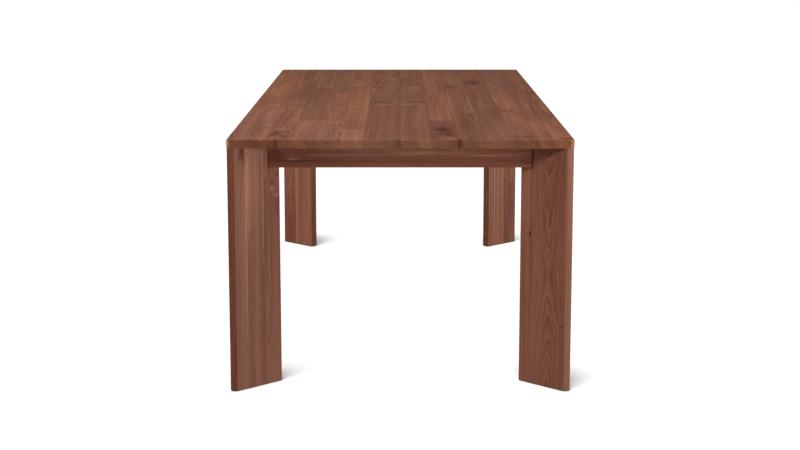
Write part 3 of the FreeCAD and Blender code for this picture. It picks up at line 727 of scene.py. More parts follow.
def heart_distance(tree, given, bent, cut):
    """Distance from the heart of the trunk, which leans, turns over at an arch and shies from knots."""
    across = tree.math("SUBTRACT", bent[0], tree.between(cut[0], HEART_ACROSS))
    through = tree.math("SUBTRACT", bent[1], tree.between(cut[1], HEART_DEPTH))
    from_arch = tree.math("SUBTRACT", bent[2], given["Arch"])
    folded = tree.math("SQRT", tree.math("MULTIPLY_ADD", from_arch, from_arch, ARCH_ROUNDING ** 2))
    is_arched = tree.math("GREATER_THAN", given["Arch"], 0.0)
    along = tree.math("MULTIPLY_ADD", is_arched, tree.math("SUBTRACT", folded, bent[2]), bent[2])
    drift = tree.math("MULTIPLY", tree.between(cut[2], HEART_LEAN), along)
    radius = tree.math("ADD", tree.length(tree.joined(across, through, 0.0)), drift)
    return tree.math("ADD", radius, given["Push"])


def year_rings(tree, finish, radius, bands):
    """Pale start and dark end of the year rings."""
    crowding = tree.math("MULTIPLY", bands, BAND_CROWDING)
    ring_share = tree.math("FRACT", tree.math("MULTIPLY_ADD", radius, 1.0 / finish.ring_pitch, crowding))
    early = tree.math("POWER", tree.math("SUBTRACT", 1.0, ring_share), EARLY_SHARPNESS)
    late = tree.math("POWER", ring_share, LATE_SHARPNESS)
    return early, late


def stained(tree, finish, given, bands, colour):
    """Colour with the marks of the board laid over it."""
    for kind, tint, way in (
        ("Smoke", finish.dark_and_shade_tint, "MULTIPLY"),
        ("Rust", finish.red_and_shade_tint, "MULTIPLY"),
        ("Bloom", finish.sapwood_and_highlight, "MIX"),
    ):
        amount = tree.math("MULTIPLY", given[kind], tree.between(bands, MARK_BANDS[kind]), clamp=True)
        colour = tree.blend(amount, colour, (*tint, 1.0), way)
    return tree.blend(given["Knot"], colour, (*finish.knot, 1.0))


def end_grained(tree, finish, given, colour):
    """Colour that is darker where a face cuts the grain."""
    normal = tree.add("ShaderNodeNewGeometry").outputs["Normal"]
    facing = tree.add("ShaderNodeVectorMath", {0: normal, 1: given["Grain"]}, operation="DOT_PRODUCT")
    end = tree.step(tree.math("ABSOLUTE", facing.outputs["Value"]), *END_FACING)
    return tree.blend(end, colour, (*finish.end_tint, 1.0), "MULTIPLY")


def figure_group(finish):
    """Group that grows walnut in a board: rings round a heart, streaks, fibres and pores."""
    inputs = (
        ("Position", "Vector"), ("Grain", "Vector"), ("Tone", "Color"), ("Cut", "Color"), ("Curl", "Float"),
        ("Arch", "Float"), ("Push", "Float"), ("Knot", "Float"), ("Smoke", "Float"), ("Rust", "Float"),
        ("Bloom", "Float"),
    )
    outputs = (("Color", "Color"), ("Roughness", "Float"), ("Height", "Float"))
    group, tree, given = new_group("walnut_figure", inputs, outputs)
    cut = tree.split(given["Cut"])
    place = tree.vector("ADD", given["Position"], tree.vector("MULTIPLY", given["Cut"], CUT_SHIFT))
    radius = heart_distance(tree, given, bent_place(tree, given, place), cut)
    bands = tree.noise(tree.joined(radius, cut[0], cut[1]), BANDS)["Fac"]
    early, late = year_rings(tree, finish, radius, bands)
    fibres = tree.noise(place, FIBRES)["Fac"]
    pores = tree.step(tree.noise(place, PORES)["Fac"], *PORE_LEVELS)

    lines = tree.math("SUBTRACT", tree.math("MULTIPLY", early, EARLY_WEIGHT), late)
    light = tree.swayed(PLAIN_LIGHT, bands, BANDS.weight)
    light = tree.math("MULTIPLY_ADD", lines, tree.between(given["Curl"], RING_WEIGHT), light)
    light = tree.swayed(light, tree.noise(place, STREAKS)["Fac"], STREAKS.weight)
    light = tree.swayed(light, fibres, FIBRES.weight)
    light = tree.swayed(light, tree.noise(place, CLOUDS)["Fac"], CLOUDS.weight)
    light = tree.math("MULTIPLY_ADD", pores, PORES.weight, light, clamp=True)
    colour = tree.blend(1.0, given["Tone"], tree.blend(light, DARKEST, LIGHTEST), "MULTIPLY")
    colour = stained(tree, finish, given, bands, colour)
    colour = end_grained(tree, finish, given, colour)

    rough = tree.math("MULTIPLY_ADD", pores, PORE_ROUGHNESS, finish.roughness)
    rough = tree.math("MULTIPLY_ADD", late, LATE_ROUGHNESS, rough)
    height = tree.math("MULTIPLY_ADD", pores, PORE_HEIGHT, tree.math("MULTIPLY", fibres, FIBRE_HEIGHT))
    height = tree.math("MULTIPLY_ADD", late, LATE_HEIGHT, height)
    tree.add("NodeGroupOutput", {"Color": colour, "Roughness": rough, "Height": height})
    return group


def wood_groups(finish):
    """The two shared groups of the walnut, made once."""
    known = bpy.data.node_groups
    return {
        "mark": known.get("walnut_mark") or mark_group(),
        "figure": known.get("walnut_figure") or figure_group(finish),
    }


# Faces that end a board: how squarely they stand to it, and their area as a share of the largest of them
SQUARE_ON = 0.999
WIDE_SHARE = 0.4
# Digits of a metre to which joints are placed, and how far from both ends a joint can lie
JOINT_DIGITS = 4
JOINT_MARGIN = 0.001


def node_joints(name, origin, axis):
    """Distances from an origin along an axis at which the boards of a CAD node start, meet and end."""
    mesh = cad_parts[name].data
    reach = [(vertex.co - origin).dot(axis) for vertex in mesh.vertices]
    low, high = min(reach), max(reach)
    ends = {}
    for polygon in mesh.polygons:
        if abs(polygon.normal.dot(axis)) > SQUARE_ON:
            place = round((polygon.center - origin).dot(axis), JOINT_DIGITS)
            ends[place] = ends.get(place, 0.0) + polygon.area
    wide = WIDE_SHARE * max(ends.values())
    meets = [
        place for place, area in ends.items()
        if area > wide and low + JOINT_MARGIN < place < high - JOINT_MARGIN
    ]
    return [low, *sorted(meets), high]


def principled(name):
    """New material with its tree and its shader."""
    material = bpy.data.materials.new(name)
    material.use_nodes = True
    tree = Tree(material.node_tree)
    return material, tree, material.node_tree.nodes["Principled BSDF"]


def coat(tree, shader, colour, roughness):
    """Give a shader its colour and its roughness."""
    tree.feed(shader.inputs["Base Color"], colour)
    tree.feed(shader.inputs["Roughness"], roughness)


def emboss(tree, shader, height, bump):
    """Give a shader the bump of a height."""
    node = tree.add("ShaderNodeBump", {**bump, "Height": height})
    tree.feed(shader.inputs["Normal"], node.outputs["Normal"])


# A wooden node: its name, a maker of the place in its boards (across, through and along the grain), the way
# of its grain in the table, its boards, the joints between them on an axis of that place, half the width at
# which it is glued to its neighbours (beyond its faces where it isn't), its marks, and where its arches turn
# over (0 where it has none)
Plank = namedtuple(
    "Plank", "name place grain boards joints joint_axis half_width marks arch", defaults=(0.0,)
)
# Knots: push on the grain as a share of the reach, levels of the mark between which the heart of the knot
# shows, and strength of the dark ring round it beside the knot's own
KNOT_PUSH = 2.2
KNOT_LEVELS = (0.45, 0.95)
KNOT_RING = 0.3
# Reach of a line of glue from a joint in metres, and what it makes of the colour
GLUE_LINE = 0.0004
GLUE_SHADE = 0.62
# Bump of the grain
GRAIN_BUMP = {"Strength": 0.22, "Distance": 0.0004}


def laid_boards(tree, finish, plank, along):
    """Tone, curl and cut of the board at a distance along a node's joints."""
    low, high = plank.joints[0], plank.joints[-1]
    share = tree.math("DIVIDE", tree.math("SUBTRACT", along, low), high - low)
    tones = []
    cuts = []
    for joint, (tone, curl, cut) in zip(plank.joints[:-1], plank.boards):
        start = (joint - low) / (high - low)
        tones.append((start, (*getattr(finish, tone), curl)))
        cuts.append((start, (*cut, 1.0)))
    tone = tree.ramp(share, tones)
    cut = tree.ramp(share, cuts)
    return {"Tone": tone["Color"], "Curl": tone["Alpha"], "Cut": cut["Color"]}


def laid_marks(tree, mark_tree, place, marks):
    """Strength of each kind of mark at a place, and the push of the knots on the grain."""
    sums = {"Push": 0.0, "Knot": 0.0, "Smoke": 0.0, "Rust": 0.0, "Bloom": 0.0}

    def heap(label, amount, weight, clamp=False):
        """Add a share of an amount to a sum."""
        sums[label] = tree.math("MULTIPLY_ADD", amount, weight, sums[label], clamp=clamp)

    for kind, across, along, reach_across, reach_along, strength in marks:
        inputs = {
            "Position": place, "Centre": (across, 0.0, along), "Reach": (reach_across, 1.0, reach_along)
        }
        mask = tree.add("ShaderNodeGroup", inputs, node_tree=mark_tree).outputs["Mask"]
        if kind == "knot":
            heap("Push", mask, KNOT_PUSH * reach_across)
            heap("Knot", tree.step(mask, *KNOT_LEVELS), strength, clamp=True)
            heap("Smoke", mask, KNOT_RING * strength)
        else:
            heap(kind.title(), mask, strength)
    return sums


def glue_lines(tree, plank, parts):
    """Grey of the lines of glue between boards, and white elsewhere."""
    edge = plank.half_width
    across = tree.math("ABSOLUTE", parts[0])
    grey = tree.step(across, edge - 2 * GLUE_LINE, edge - GLUE_LINE, 1.0, GLUE_SHADE)
    for joint in plank.joints[1:-1]:
        gap = tree.math("ABSOLUTE", tree.math("SUBTRACT", parts[plank.joint_axis], joint))
        grey = tree.math("MULTIPLY", grey, tree.step(gap, GLUE_LINE / 2, GLUE_LINE, GLUE_SHADE, 1.0))
    return tree.joined(grey, grey, grey)


def wood_material(finish, groups, plank):
    """Walnut for a node, with its boards, its marks and its lines of glue."""
    material, tree, shader = principled(f"walnut_{plank.name}")
    place = plank.place(tree)
    parts = tree.split(place)
    inputs = {
        "Position": place, "Grain": plank.grain, "Arch": plank.arch,
        **laid_boards(tree, finish, plank, parts[plank.joint_axis]),
        **laid_marks(tree, groups["mark"], place, plank.marks),
    }
    figure = tree.add("ShaderNodeGroup", inputs, node_tree=groups["figure"]).outputs
    colour = tree.blend(1.0, figure["Color"], glue_lines(tree, plank, parts), "MULTIPLY")
    coat(tree, shader, colour, figure["Roughness"])
    emboss(tree, shader, figure["Height"], GRAIN_BUMP)
    shader.inputs["Specular IOR Level"].default_value = finish.gloss
    return material


def dress(name, material):
    """Give a CAD node its material."""
    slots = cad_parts[name].data.materials
    slots.clear()
    slots.append(material)


def turned_place(order, middle):
    """Maker of the board's own place from the table's: across, through and along from a middle."""
    def build(tree):
        moved = tree.split(tree.vector("SUBTRACT", tree.coords(), tuple(middle)))
        return tree.joined(*(moved[axis] for axis in order))
    return build


def leg_place(tip, angle):
    """Maker of a leg's own place from the table's: in from the tip, through and up."""
    def build(tree):
        turn = (0.0, 0.0, math.radians(angle))
        inputs = {"Vector": tree.coords(), "Location": tip, "Rotation": turn}
        return tree.add("ShaderNodeMapping", inputs, vector_type="TEXTURE").outputs[0]
    return build


class TABLE_OT_top(Operator):
    """Finish the boards of the top"""

    bl_idname = "table.finish_top"
    bl_label = "Finish Top"

    def execute(self, context):
        finish = context.scene.table_wood
        groups = wood_groups(finish)
        grain = Vector((0.0, 1.0, 0.0))
        for number, staves in enumerate(TOP_STAVES, start=1):
            name = f"top_board_{number:02d}"
            low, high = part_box(name)
            middle = (low + high) / 2
            plank = Plank(
                name=name, place=turned_place((0, 2, 1), (middle.x, 0.0, middle.z)), grain=grain,
                boards=staves, joints=node_joints(name, Vector(), grain), joint_axis=2,
                half_width=(high.x - low.x) / 2, marks=self.row_marks(number, middle),
            )
            dress(name, wood_material(finish, groups, plank))
        return {"FINISHED"}

    def row_marks(self, number, middle):
        """Marks of a row of staves and of its front edge, placed in the row."""
        marks = list(TOP_MARKS.get(number, ()))
        marks += [mark for rows, mark in EDGE_MARKS if number in rows]
        return [
            (kind, TABLE_LOW.x + across - middle.x, TABLE_LOW.y + share * TABLE_LENGTH, *rest)
            for kind, across, share, *rest in marks
        ]


class TABLE_OT_legs(Operator):
    """Finish the four plank legs"""

    bl_idname = "table.finish_legs"
    bl_label = "Finish Legs"

    def execute(self, context):
        finish = context.scene.table_wood
        groups = wood_groups(finish)
        for corner, (side, end, angle) in CORNERS.items():
            name = f"leg_{corner}"
            tip = Vector((side * TABLE_WIDTH / 2, end * TABLE_LENGTH / 2, 0.0))
            inward = Vector((-side, -end, 0.0)).normalized()
            joints = node_joints(name, tip, inward)
            joints.insert(1, NOSE_DEPTH)
            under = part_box(name)[1].z
            marks = [
                (kind, across, under - drop, *rest) for kind, across, drop, *rest in LEG_MARKS[corner]
            ]
            plank = Plank(
                name=name, place=leg_place(tip, angle), grain=(0.0, 0.0, 1.0), boards=LEG_BOARDS[corner],
                joints=joints, joint_axis=0, half_width=2 * joints[-1], marks=marks,
                arch=LEG_ARCHES.get(corner, 0.0),
            )
            dress(name, wood_material(finish, groups, plank))
        return {"FINISHED"}


class TABLE_OT_rails(Operator):
    """Finish the rails and the cross rails"""

    bl_idname = "table.finish_rails"
    bl_label = "Finish Rails"

    def execute(self, context):
        finish = context.scene.table_wood
        groups = wood_groups(finish)
        for name, board in RAIL_BOARDS.items():
            low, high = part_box(name)
            middle = (low + high) / 2
            along = 1 if name.startswith("side") else 0
            grain = [0.0, 0.0, 0.0]
            grain[along] = 1.0
            reach = (high - low)[along]
            marks = [
                (kind, low.z + height - middle.z, start - reach / 2, *rest)
                for kind, height, start, *rest in RAIL_MARKS.get(name, ())
            ]
            plank = Plank(
                name=name, place=turned_place((2, 1 - along, along), middle), grain=grain, boards=(board,),
                joints=(-reach / 2, reach / 2), joint_axis=2, half_width=high.z - low.z, marks=marks,
            )
            dress(name, wood_material(finish, groups, plank))
        return {"FINISHED"}


# Clouds and rolling marks of zinc plating, their weights what they add to its roughness
PLATING_CLOUDS = Noise((90.0, 90.0, 90.0), 4.0, 0.6, -0.25)
ROLLING_MARKS = Noise((400.0, 400.0, 2600.0), 2.0, 0.6, 0.12)
# Levels of the clouds from tarnish to bright plating, and the bump of the rolling marks
PLATING_LEVELS = (0.35, 0.7)
ROLLED_BUMP = {"Strength": 0.12, "Distance": 0.0002}


def metal_material(name, colour, tarnish, roughness):
    """Zinc-plated steel: a cloudy plating with fine rolling marks."""
    material, tree, shader = principled(name)
    clouds = tree.noise(tree.coords(), PLATING_CLOUDS)["Fac"]
    marks = tree.noise(tree.coords(), ROLLING_MARKS)["Fac"]
    bright = tree.step(clouds, *PLATING_LEVELS)
    rough = tree.math("MULTIPLY_ADD", clouds, PLATING_CLOUDS.weight, roughness)
    rough = tree.math("MULTIPLY_ADD", marks, ROLLING_MARKS.weight, rough)
    coat(tree, shader, tree.blend(bright, (*tarnish, 1.0), (*colour, 1.0)), rough)
    emboss(tree, shader, marks, ROLLED_BUMP)
    shader.inputs["Metallic"].default_value = 1.0
    return material


def flecked_coat(tree, shader, colour, flecks, times, roughness):
    """Coat with flecks some times as light as the rest, and the roughness of the rest and of the flecks."""
    fleck = tuple(times * part for part in colour)
    blended = tree.blend(flecks, (*colour, 1.0), (*fleck, 1.0))
    coat(tree, shader, blended, tree.between(flecks, roughness))


# Texture and scuffs of nylon, the levels between which a scuff shows, its lightness, the roughness outside
# it and in it, and the bump of the texture
NYLON_TEXTURE = Noise((3500.0, 3500.0, 3500.0), 2.0, 0.6)
SCUFFS = Noise((320.0, 320.0, 320.0), 4.0, 0.65)
SCUFF_LEVELS = (0.5, 0.72)
SCUFF_LIGHTNESS = 2.2
NYLON_ROUGHNESS = (0.45, 0.7)
NYLON_BUMP = {"Strength": 0.2, "Distance": 0.0001}


def nylon_material(hardware):
    """Moulded nylon with a fine spark-eroded texture and scuffs."""
    material, tree, shader = principled("glide_nylon_moulded")
    scuffs = tree.step(tree.noise(tree.coords(), SCUFFS)["Fac"], *SCUFF_LEVELS)
    flecked_coat(tree, shader, hardware.nylon, scuffs, SCUFF_LIGHTNESS, NYLON_ROUGHNESS)
    emboss(tree, shader, tree.noise(tree.coords(), NYLON_TEXTURE)["Fac"], NYLON_BUMP)
    return material


# Rays of beech, the levels between which a ray shows as a fleck, its lightness, and the roughness outside it
# and in it
BEECH_RAYS = Noise((260.0, 1500.0, 1500.0), 1.0, 0.5)
FLECK_LEVELS = (0.58, 0.7)
FLECK_LIGHTNESS = 0.62
BEECH_ROUGHNESS = (0.6, 0.7)


def beech_material(hardware):
    """Beech with the short dark flecks of its rays."""
    material, tree, shader = principled("dowel_beech_flecked")
    flecks = tree.step(tree.noise(tree.coords(), BEECH_RAYS)["Fac"], *FLECK_LEVELS)
    flecked_coat(tree, shader, hardware.beech, flecks, FLECK_LIGHTNESS, BEECH_ROUGHNESS)
    return material


# Points of a mesh closer than this are one
SAME_POINT = 1e-6


def node_solids(name):
    """Corner points of each separate solid of a CAD node."""
    shape = bmesh.new()
    shape.from_mesh(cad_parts[name].data)
    bmesh.ops.remove_doubles(shape, verts=shape.verts, dist=SAME_POINT)
    solids = []
    seen = set()
    for start in shape.verts:
        if start in seen:
            continue
        seen.add(start)
        reached = [start]
        for vertex in reached:
            for edge in vertex.link_edges:
                other = edge.other_vert(vertex)
                if other not in seen:
                    seen.add(other)
                    reached.append(other)
        solids.append([vertex.co.copy() for vertex in reached])
    shape.free()
    return solids


def seats(name, aim):
    """Place and length of each solid of a node, its own z axis turned along what aim gives for its middle."""
    found = []
    for points in node_solids(name):
        low = Vector(min(point[axis] for point in points) for axis in range(3))
        high = Vector(max(point[axis] for point in points) for axis in range(3))
        middle = (low + high) / 2
        axis = aim(middle).normalized()
        along = [point.dot(axis) for point in points]
        start = middle + axis * (min(along) - middle.dot(axis))
        turn = axis.to_track_quat("Z", "Y").to_matrix().to_4x4()
        found.append((Matrix.Translation(start) @ turn, max(along) - min(along)))
    return found


def towards_middle(point):
    """Level direction along a leg, from the corner that is nearest to the middle of the table."""
    return Vector((-math.copysign(1.0, point.x), -math.copysign(1.0, point.y), 0.0))


def out_of_rail(point):
    """Direction out of the rail that a plate screw is driven into."""
    beside = TABLE_WIDTH / 2 - abs(point.x)
    before = TABLE_LENGTH / 2 - abs(point.y)
    if beside < before:
        return Vector((-math.copysign(1.0, point.x), 0.0, 0.0))
    return Vector((0.0, -math.copysign(1.0, point.y), 0.0))


def downwards(_point):
    """Direction down to the floor, the same at every point."""
    return Vector((0.0, 0.0, -1.0))


def ring(shape, radius, height, sides, lead=0.0):
    """Round of points, which can climb by a lead as a thread does."""
    points = []
    for step in range(sides):
        angle = math.tau * step / sides
        place = (radius * math.cos(angle), radius * math.sin(angle), height + lead * step / sides)
        points.append(shape.verts.new(place))
    return points


def skin(shape, lower, upper):
    """Faces between two rounds of points."""
    count = len(lower)
    for step in range(count):
        after = (step + 1) % count
        shape.faces.new((lower[step], lower[after], upper[after], upper[step]))


def lathe(shape, profile, sides, closed=True):
    """Turned form from radii and heights, from its low end to its high one, with both ends closed or open."""
    rounds = [ring(shape, radius, height, sides) for radius, height in profile]
    for lower, upper in zip(rounds, rounds[1:]):
        skin(shape, lower, upper)
    if closed:
        shape.faces.new(rounds[0][::-1])
        shape.faces.new(rounds[-1])
    return rounds


# Angle from which an edge of a fitting looks sharp
SHARP_EDGE = math.radians(35)


def fitting(context, name, node, material, places, draw):
    """One piece made of a like fitting at each place, which stands for a CAD node."""
    whole = bmesh.new()
    for place, length in places:
        single = bmesh.new()
        draw(single, length, context.scene.table_hardware)
        bmesh.ops.transform(single, matrix=place, verts=single.verts)
        copy = bpy.data.meshes.new(name)
        single.to_mesh(copy)
        single.free()
        whole.from_mesh(copy)
        bpy.data.meshes.remove(copy)
    bmesh.ops.recalc_face_normals(whole, faces=whole.faces)
    mesh = bpy.data.meshes.new(name)
    whole.to_mesh(mesh)
    whole.free()
    mesh.polygons.foreach_set("use_smooth", [True] * len(mesh.polygons))
    mesh.set_sharp_from_angle(angle=SHARP_EDGE)
    mesh.materials.append(material)
    piece = bpy.data.objects.new(name, mesh)
    context.scene.collection.objects.link(piece)
    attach(piece, "root")
    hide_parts(node)


class TABLE_OT_plates(Operator):
    """Finish the pressed corner plates and the clips of the top"""

    bl_idname = "table.finish_plates"
    bl_label = "Finish Plates"

    def execute(self, context):
        hardware = context.scene.table_hardware
        steel = metal_material(
            "plate_zinc", hardware.zinc, hardware.plate_tarnish, hardware.plate_roughness
        )
        for corner in CORNERS:
            dress(f"corner_plate_{corner}", steel)
        dress("top_clips", steel)
        return {"FINISHED"}


# Sides of the rounds of each kind of fitting
BOLT_SIDES = 24
WASHER_SIDES = 40
NUT_SIDES = 48
SCREW_SIDES = 24
GLIDE_SIDES = 40
# Bolts: depth of the thread as a share of its pitch, plain shank and taper as shares of the length, and the
# ends of the taper and of the thread as shares of the radius
THREAD_DEPTH_SHARE = 0.6
SHANK_SHARE = 0.5
TAPER_SHARE = 0.1
TAPER_END_SHARE = 0.3
THREAD_END_SHARE = 0.7
# Washers: hole as a share of the bolt, and eased edge as a share of the thickness
HOLE_SHARE = 1.05
WASHER_EASE_SHARE = 0.15
# Nuts: chamfer as a share of the height, its start as a share of the chamfer, and the round face as a share
# of the flats
CHAMFER_SHARE = 0.12
CHAMFER_START_SHARE = 0.4
NUT_FACE_SHARE = 0.97


class TABLE_OT_bolts(Operator):
    """Make the threaded bolts, washers and nuts that hold the legs"""

    bl_idname = "table.make_bolts"
    bl_label = "Make Bolts"

    def execute(self, context):
        hardware = context.scene.table_hardware
        zinc = metal_material("bolt_zinc", hardware.zinc, hardware.bolt_tarnish, hardware.bolt_roughness)
        for name, node, draw in (
            ("threaded_bolts", "hanger_bolts", self.draw_bolt),
            ("flat_washers", "bolt_washers", self.draw_washer),
            ("chamfered_nuts", "bolt_nuts", self.draw_nut),
        ):
            fitting(context, name, node, zinc, seats(node, towards_middle), draw)
        return {"FINISHED"}

    def draw_bolt(self, shape, length, hardware):
        """Plain shank in the wood, then a thread with a chamfered end."""
        radius = hardware.bolt_diameter / 2
        pitch = hardware.thread_pitch
        root = radius - THREAD_DEPTH_SHARE * pitch
        shank = SHANK_SHARE * length
        profile = ((TAPER_END_SHARE * radius, 0.0), (root, TAPER_SHARE * length), (root, shank))
        lathe(shape, profile, BOLT_SIDES)
        turns = int((length - shank) / pitch) - 1
        rounds = []
        for turn in range(turns + 1):
            rounds.append(ring(shape, root, shank + turn * pitch, BOLT_SIDES, pitch))
            rounds.append(ring(shape, radius, shank + (turn + 0.5) * pitch, BOLT_SIDES, pitch))
        for lower, upper in zip(rounds, rounds[1:]):
            skin(shape, lower, upper)
        tip = ring(shape, THREAD_END_SHARE * radius, length, BOLT_SIDES)
        skin(shape, rounds[-1], tip)
        shape.faces.new(tip)

    def draw_washer(self, shape, length, hardware):
        """Flat ring with eased edges."""
        outer = hardware.washer_diameter / 2
        inner = HOLE_SHARE * hardware.bolt_diameter / 2
        ease = WASHER_EASE_SHARE * length
        profile = (
            (inner, 0.0), (outer - ease, 0.0), (outer, ease), (outer, length - ease), (outer - ease, length),
            (inner, length),
        )
        rounds = lathe(shape, profile, WASHER_SIDES, closed=False)
        skin(shape, rounds[-1], rounds[0])

    def draw_nut(self, shape, length, hardware):
        """Hexagon whose corners are turned off at both ends, round a plain bore."""
        flats = hardware.nut_flats / 2
        bore = hardware.bolt_diameter / 2
        face = NUT_FACE_SHARE * flats
        chamfer = CHAMFER_SHARE * length
        start = CHAMFER_START_SHARE * chamfer
        rounds = [
            ring(shape, bore, 0.0, NUT_SIDES), ring(shape, face, 0.0, NUT_SIDES),
            self.hexagon(shape, flats, start, chamfer), self.hexagon(shape, flats, length - start, -chamfer),
            ring(shape, face, length, NUT_SIDES), ring(shape, bore, length, NUT_SIDES),
        ]
        for lower, upper in zip(rounds, rounds[1:] + rounds[:1]):
            skin(shape, lower, upper)

    def hexagon(self, shape, flats, height, drop):
        """Round of points on a hexagon, which lie further up or down the nearer they are to its corners."""
        corner = flats / math.cos(math.pi / 6)
        points = ring(shape, 1.0, height, NUT_SIDES)
        for step, point in enumerate(points):
            turn = (math.tau * step / NUT_SIDES) % (math.pi / 3) - math.pi / 6
            reach = flats / math.cos(turn)
            excess = (reach - flats) / (corner - flats)
            point.co = Vector((point.co.x * reach, point.co.y * reach, height + drop * excess))
        return points


# Screws: the point as a share of the shank's radius and length
POINT_SHARE = 0.1
POINT_LENGTH_SHARE = 0.2
# Outline of a pan head from its seat to its crown, in shares of the head's radius and height
HEAD_OUTLINE = ((0.97, 0.0), (1.0, 0.15), (1.0, 0.4), (0.93, 0.75), (0.85, 0.92), (0.72, 1.0))
# Cross recess: reach of an arm and half its width as shares of the head's radius, depth as a share of the
# head's height, and its floor as a share of its mouth
CROSS_ARM_SHARE = 0.56
CROSS_SLOT_SHARE = 0.14
CROSS_DEPTH_SHARE = 0.6
CROSS_FLOOR_SHARE = 0.7


class TABLE_OT_screws(Operator):
    """Make the pan-head screws of the plates and the clips"""

    bl_idname = "table.make_screws"
    bl_label = "Make Screws"

    def execute(self, context):
        hardware = context.scene.table_hardware
        plating = metal_material(
            "screw_zinc", hardware.brass_zinc, hardware.screw_tarnish, hardware.screw_roughness
        )
        for name, node, aim in (
            ("plate_pan_screws", "plate_screws", out_of_rail),
            ("clip_pan_screws", "clip_screws", downwards),
        ):
            fitting(context, name, node, plating, seats(node, aim), self.draw_screw)
        return {"FINISHED"}

    def draw_screw(self, shape, length, hardware):
        """Pointed shank under a domed head with a cross recess."""
        shank = hardware.screw_diameter / 2
        head = hardware.head_diameter / 2
        crown = hardware.head_height
        seat = length - crown
        point = ((POINT_SHARE * shank, 0.0), (shank, POINT_LENGTH_SHARE * seat), (shank, seat))
        lathe(shape, point, SCREW_SIDES)
        dome = [(reach * head, seat + height * crown) for reach, height in HEAD_OUTLINE]
        rim = lathe(shape, [(shank, seat), *dome], SCREW_SIDES, closed=False)[-1]
        cross = self.cross(CROSS_ARM_SHARE * head, CROSS_SLOT_SHARE * head)
        lip = [shape.verts.new((place.x, place.y, length)) for place in cross]
        edges = [shape.edges.new(pair) for pair in zip(lip, lip[1:] + lip[:1])]
        edges += [shape.edges.get(pair) for pair in zip(rim, rim[1:] + rim[:1])]
        bmesh.ops.triangle_fill(shape, use_beauty=True, edges=edges)
        depth = length - CROSS_DEPTH_SHARE * crown
        floor = [shape.verts.new((*(CROSS_FLOOR_SHARE * place), depth)) for place in cross]
        skin(shape, lip, floor)
        shape.faces.new(floor)

    def cross(self, arm, slot):
        """Outline of a cross, in order of angle."""
        outline = []
        for quarter in range(4):
            turn = Matrix.Rotation(quarter * math.pi / 2, 2)
            for place in ((slot, -slot), (arm, -slot), (arm, slot)):
                outline.append(turn @ Vector(place))
        return sorted(outline, key=lambda place: math.atan2(place.y, place.x))


# Glides: rounded rim as a share of the height, its steps, the dish and its floor as shares of the radius,
# and the height of that floor as a share of the glide's
RIM_SHARE = 0.5
RIM_STEPS = 6
DISH_SHARE = 0.45
DISH_FLOOR_SHARE = 0.36
DISH_HEIGHT_SHARE = 0.82


class TABLE_OT_glides(Operator):
    """Make the nylon glides under the legs"""

    bl_idname = "table.make_glides"
    bl_label = "Make Glides"

    def execute(self, context):
        nylon = nylon_material(context.scene.table_hardware)
        places = seats("foot_glides", downwards)
        fitting(context, "nylon_glides", "foot_glides", nylon, places, self.draw_glide)
        return {"FINISHED"}

    def draw_glide(self, shape, length, hardware):
        """Low button with a rounded rim and a dished face."""
        radius = hardware.glide_diameter / 2
        rim = RIM_SHARE * length
        profile = [(radius, 0.0), (radius, length - rim)]
        for step in range(1, RIM_STEPS):
            angle = step * math.pi / 2 / RIM_STEPS
            profile.append((radius - rim * (1 - math.cos(angle)), length - rim * (1 - math.sin(angle))))
        profile.append((radius - rim, length))
        profile.append((DISH_SHARE * radius, length))
        profile.append((DISH_FLOOR_SHARE * radius, DISH_HEIGHT_SHARE * length))
        lathe(shape, profile, GLIDE_SIDES)


class TABLE_OT_dowels(Operator):
    """Finish the dowels of the cross rails"""

    bl_idname = "table.finish_dowels"
    bl_label = "Finish Dowels"

    def execute(self, context):
        dress("cross_rail_dowels", beech_material(context.scene.table_hardware))
        return {"FINISHED"}


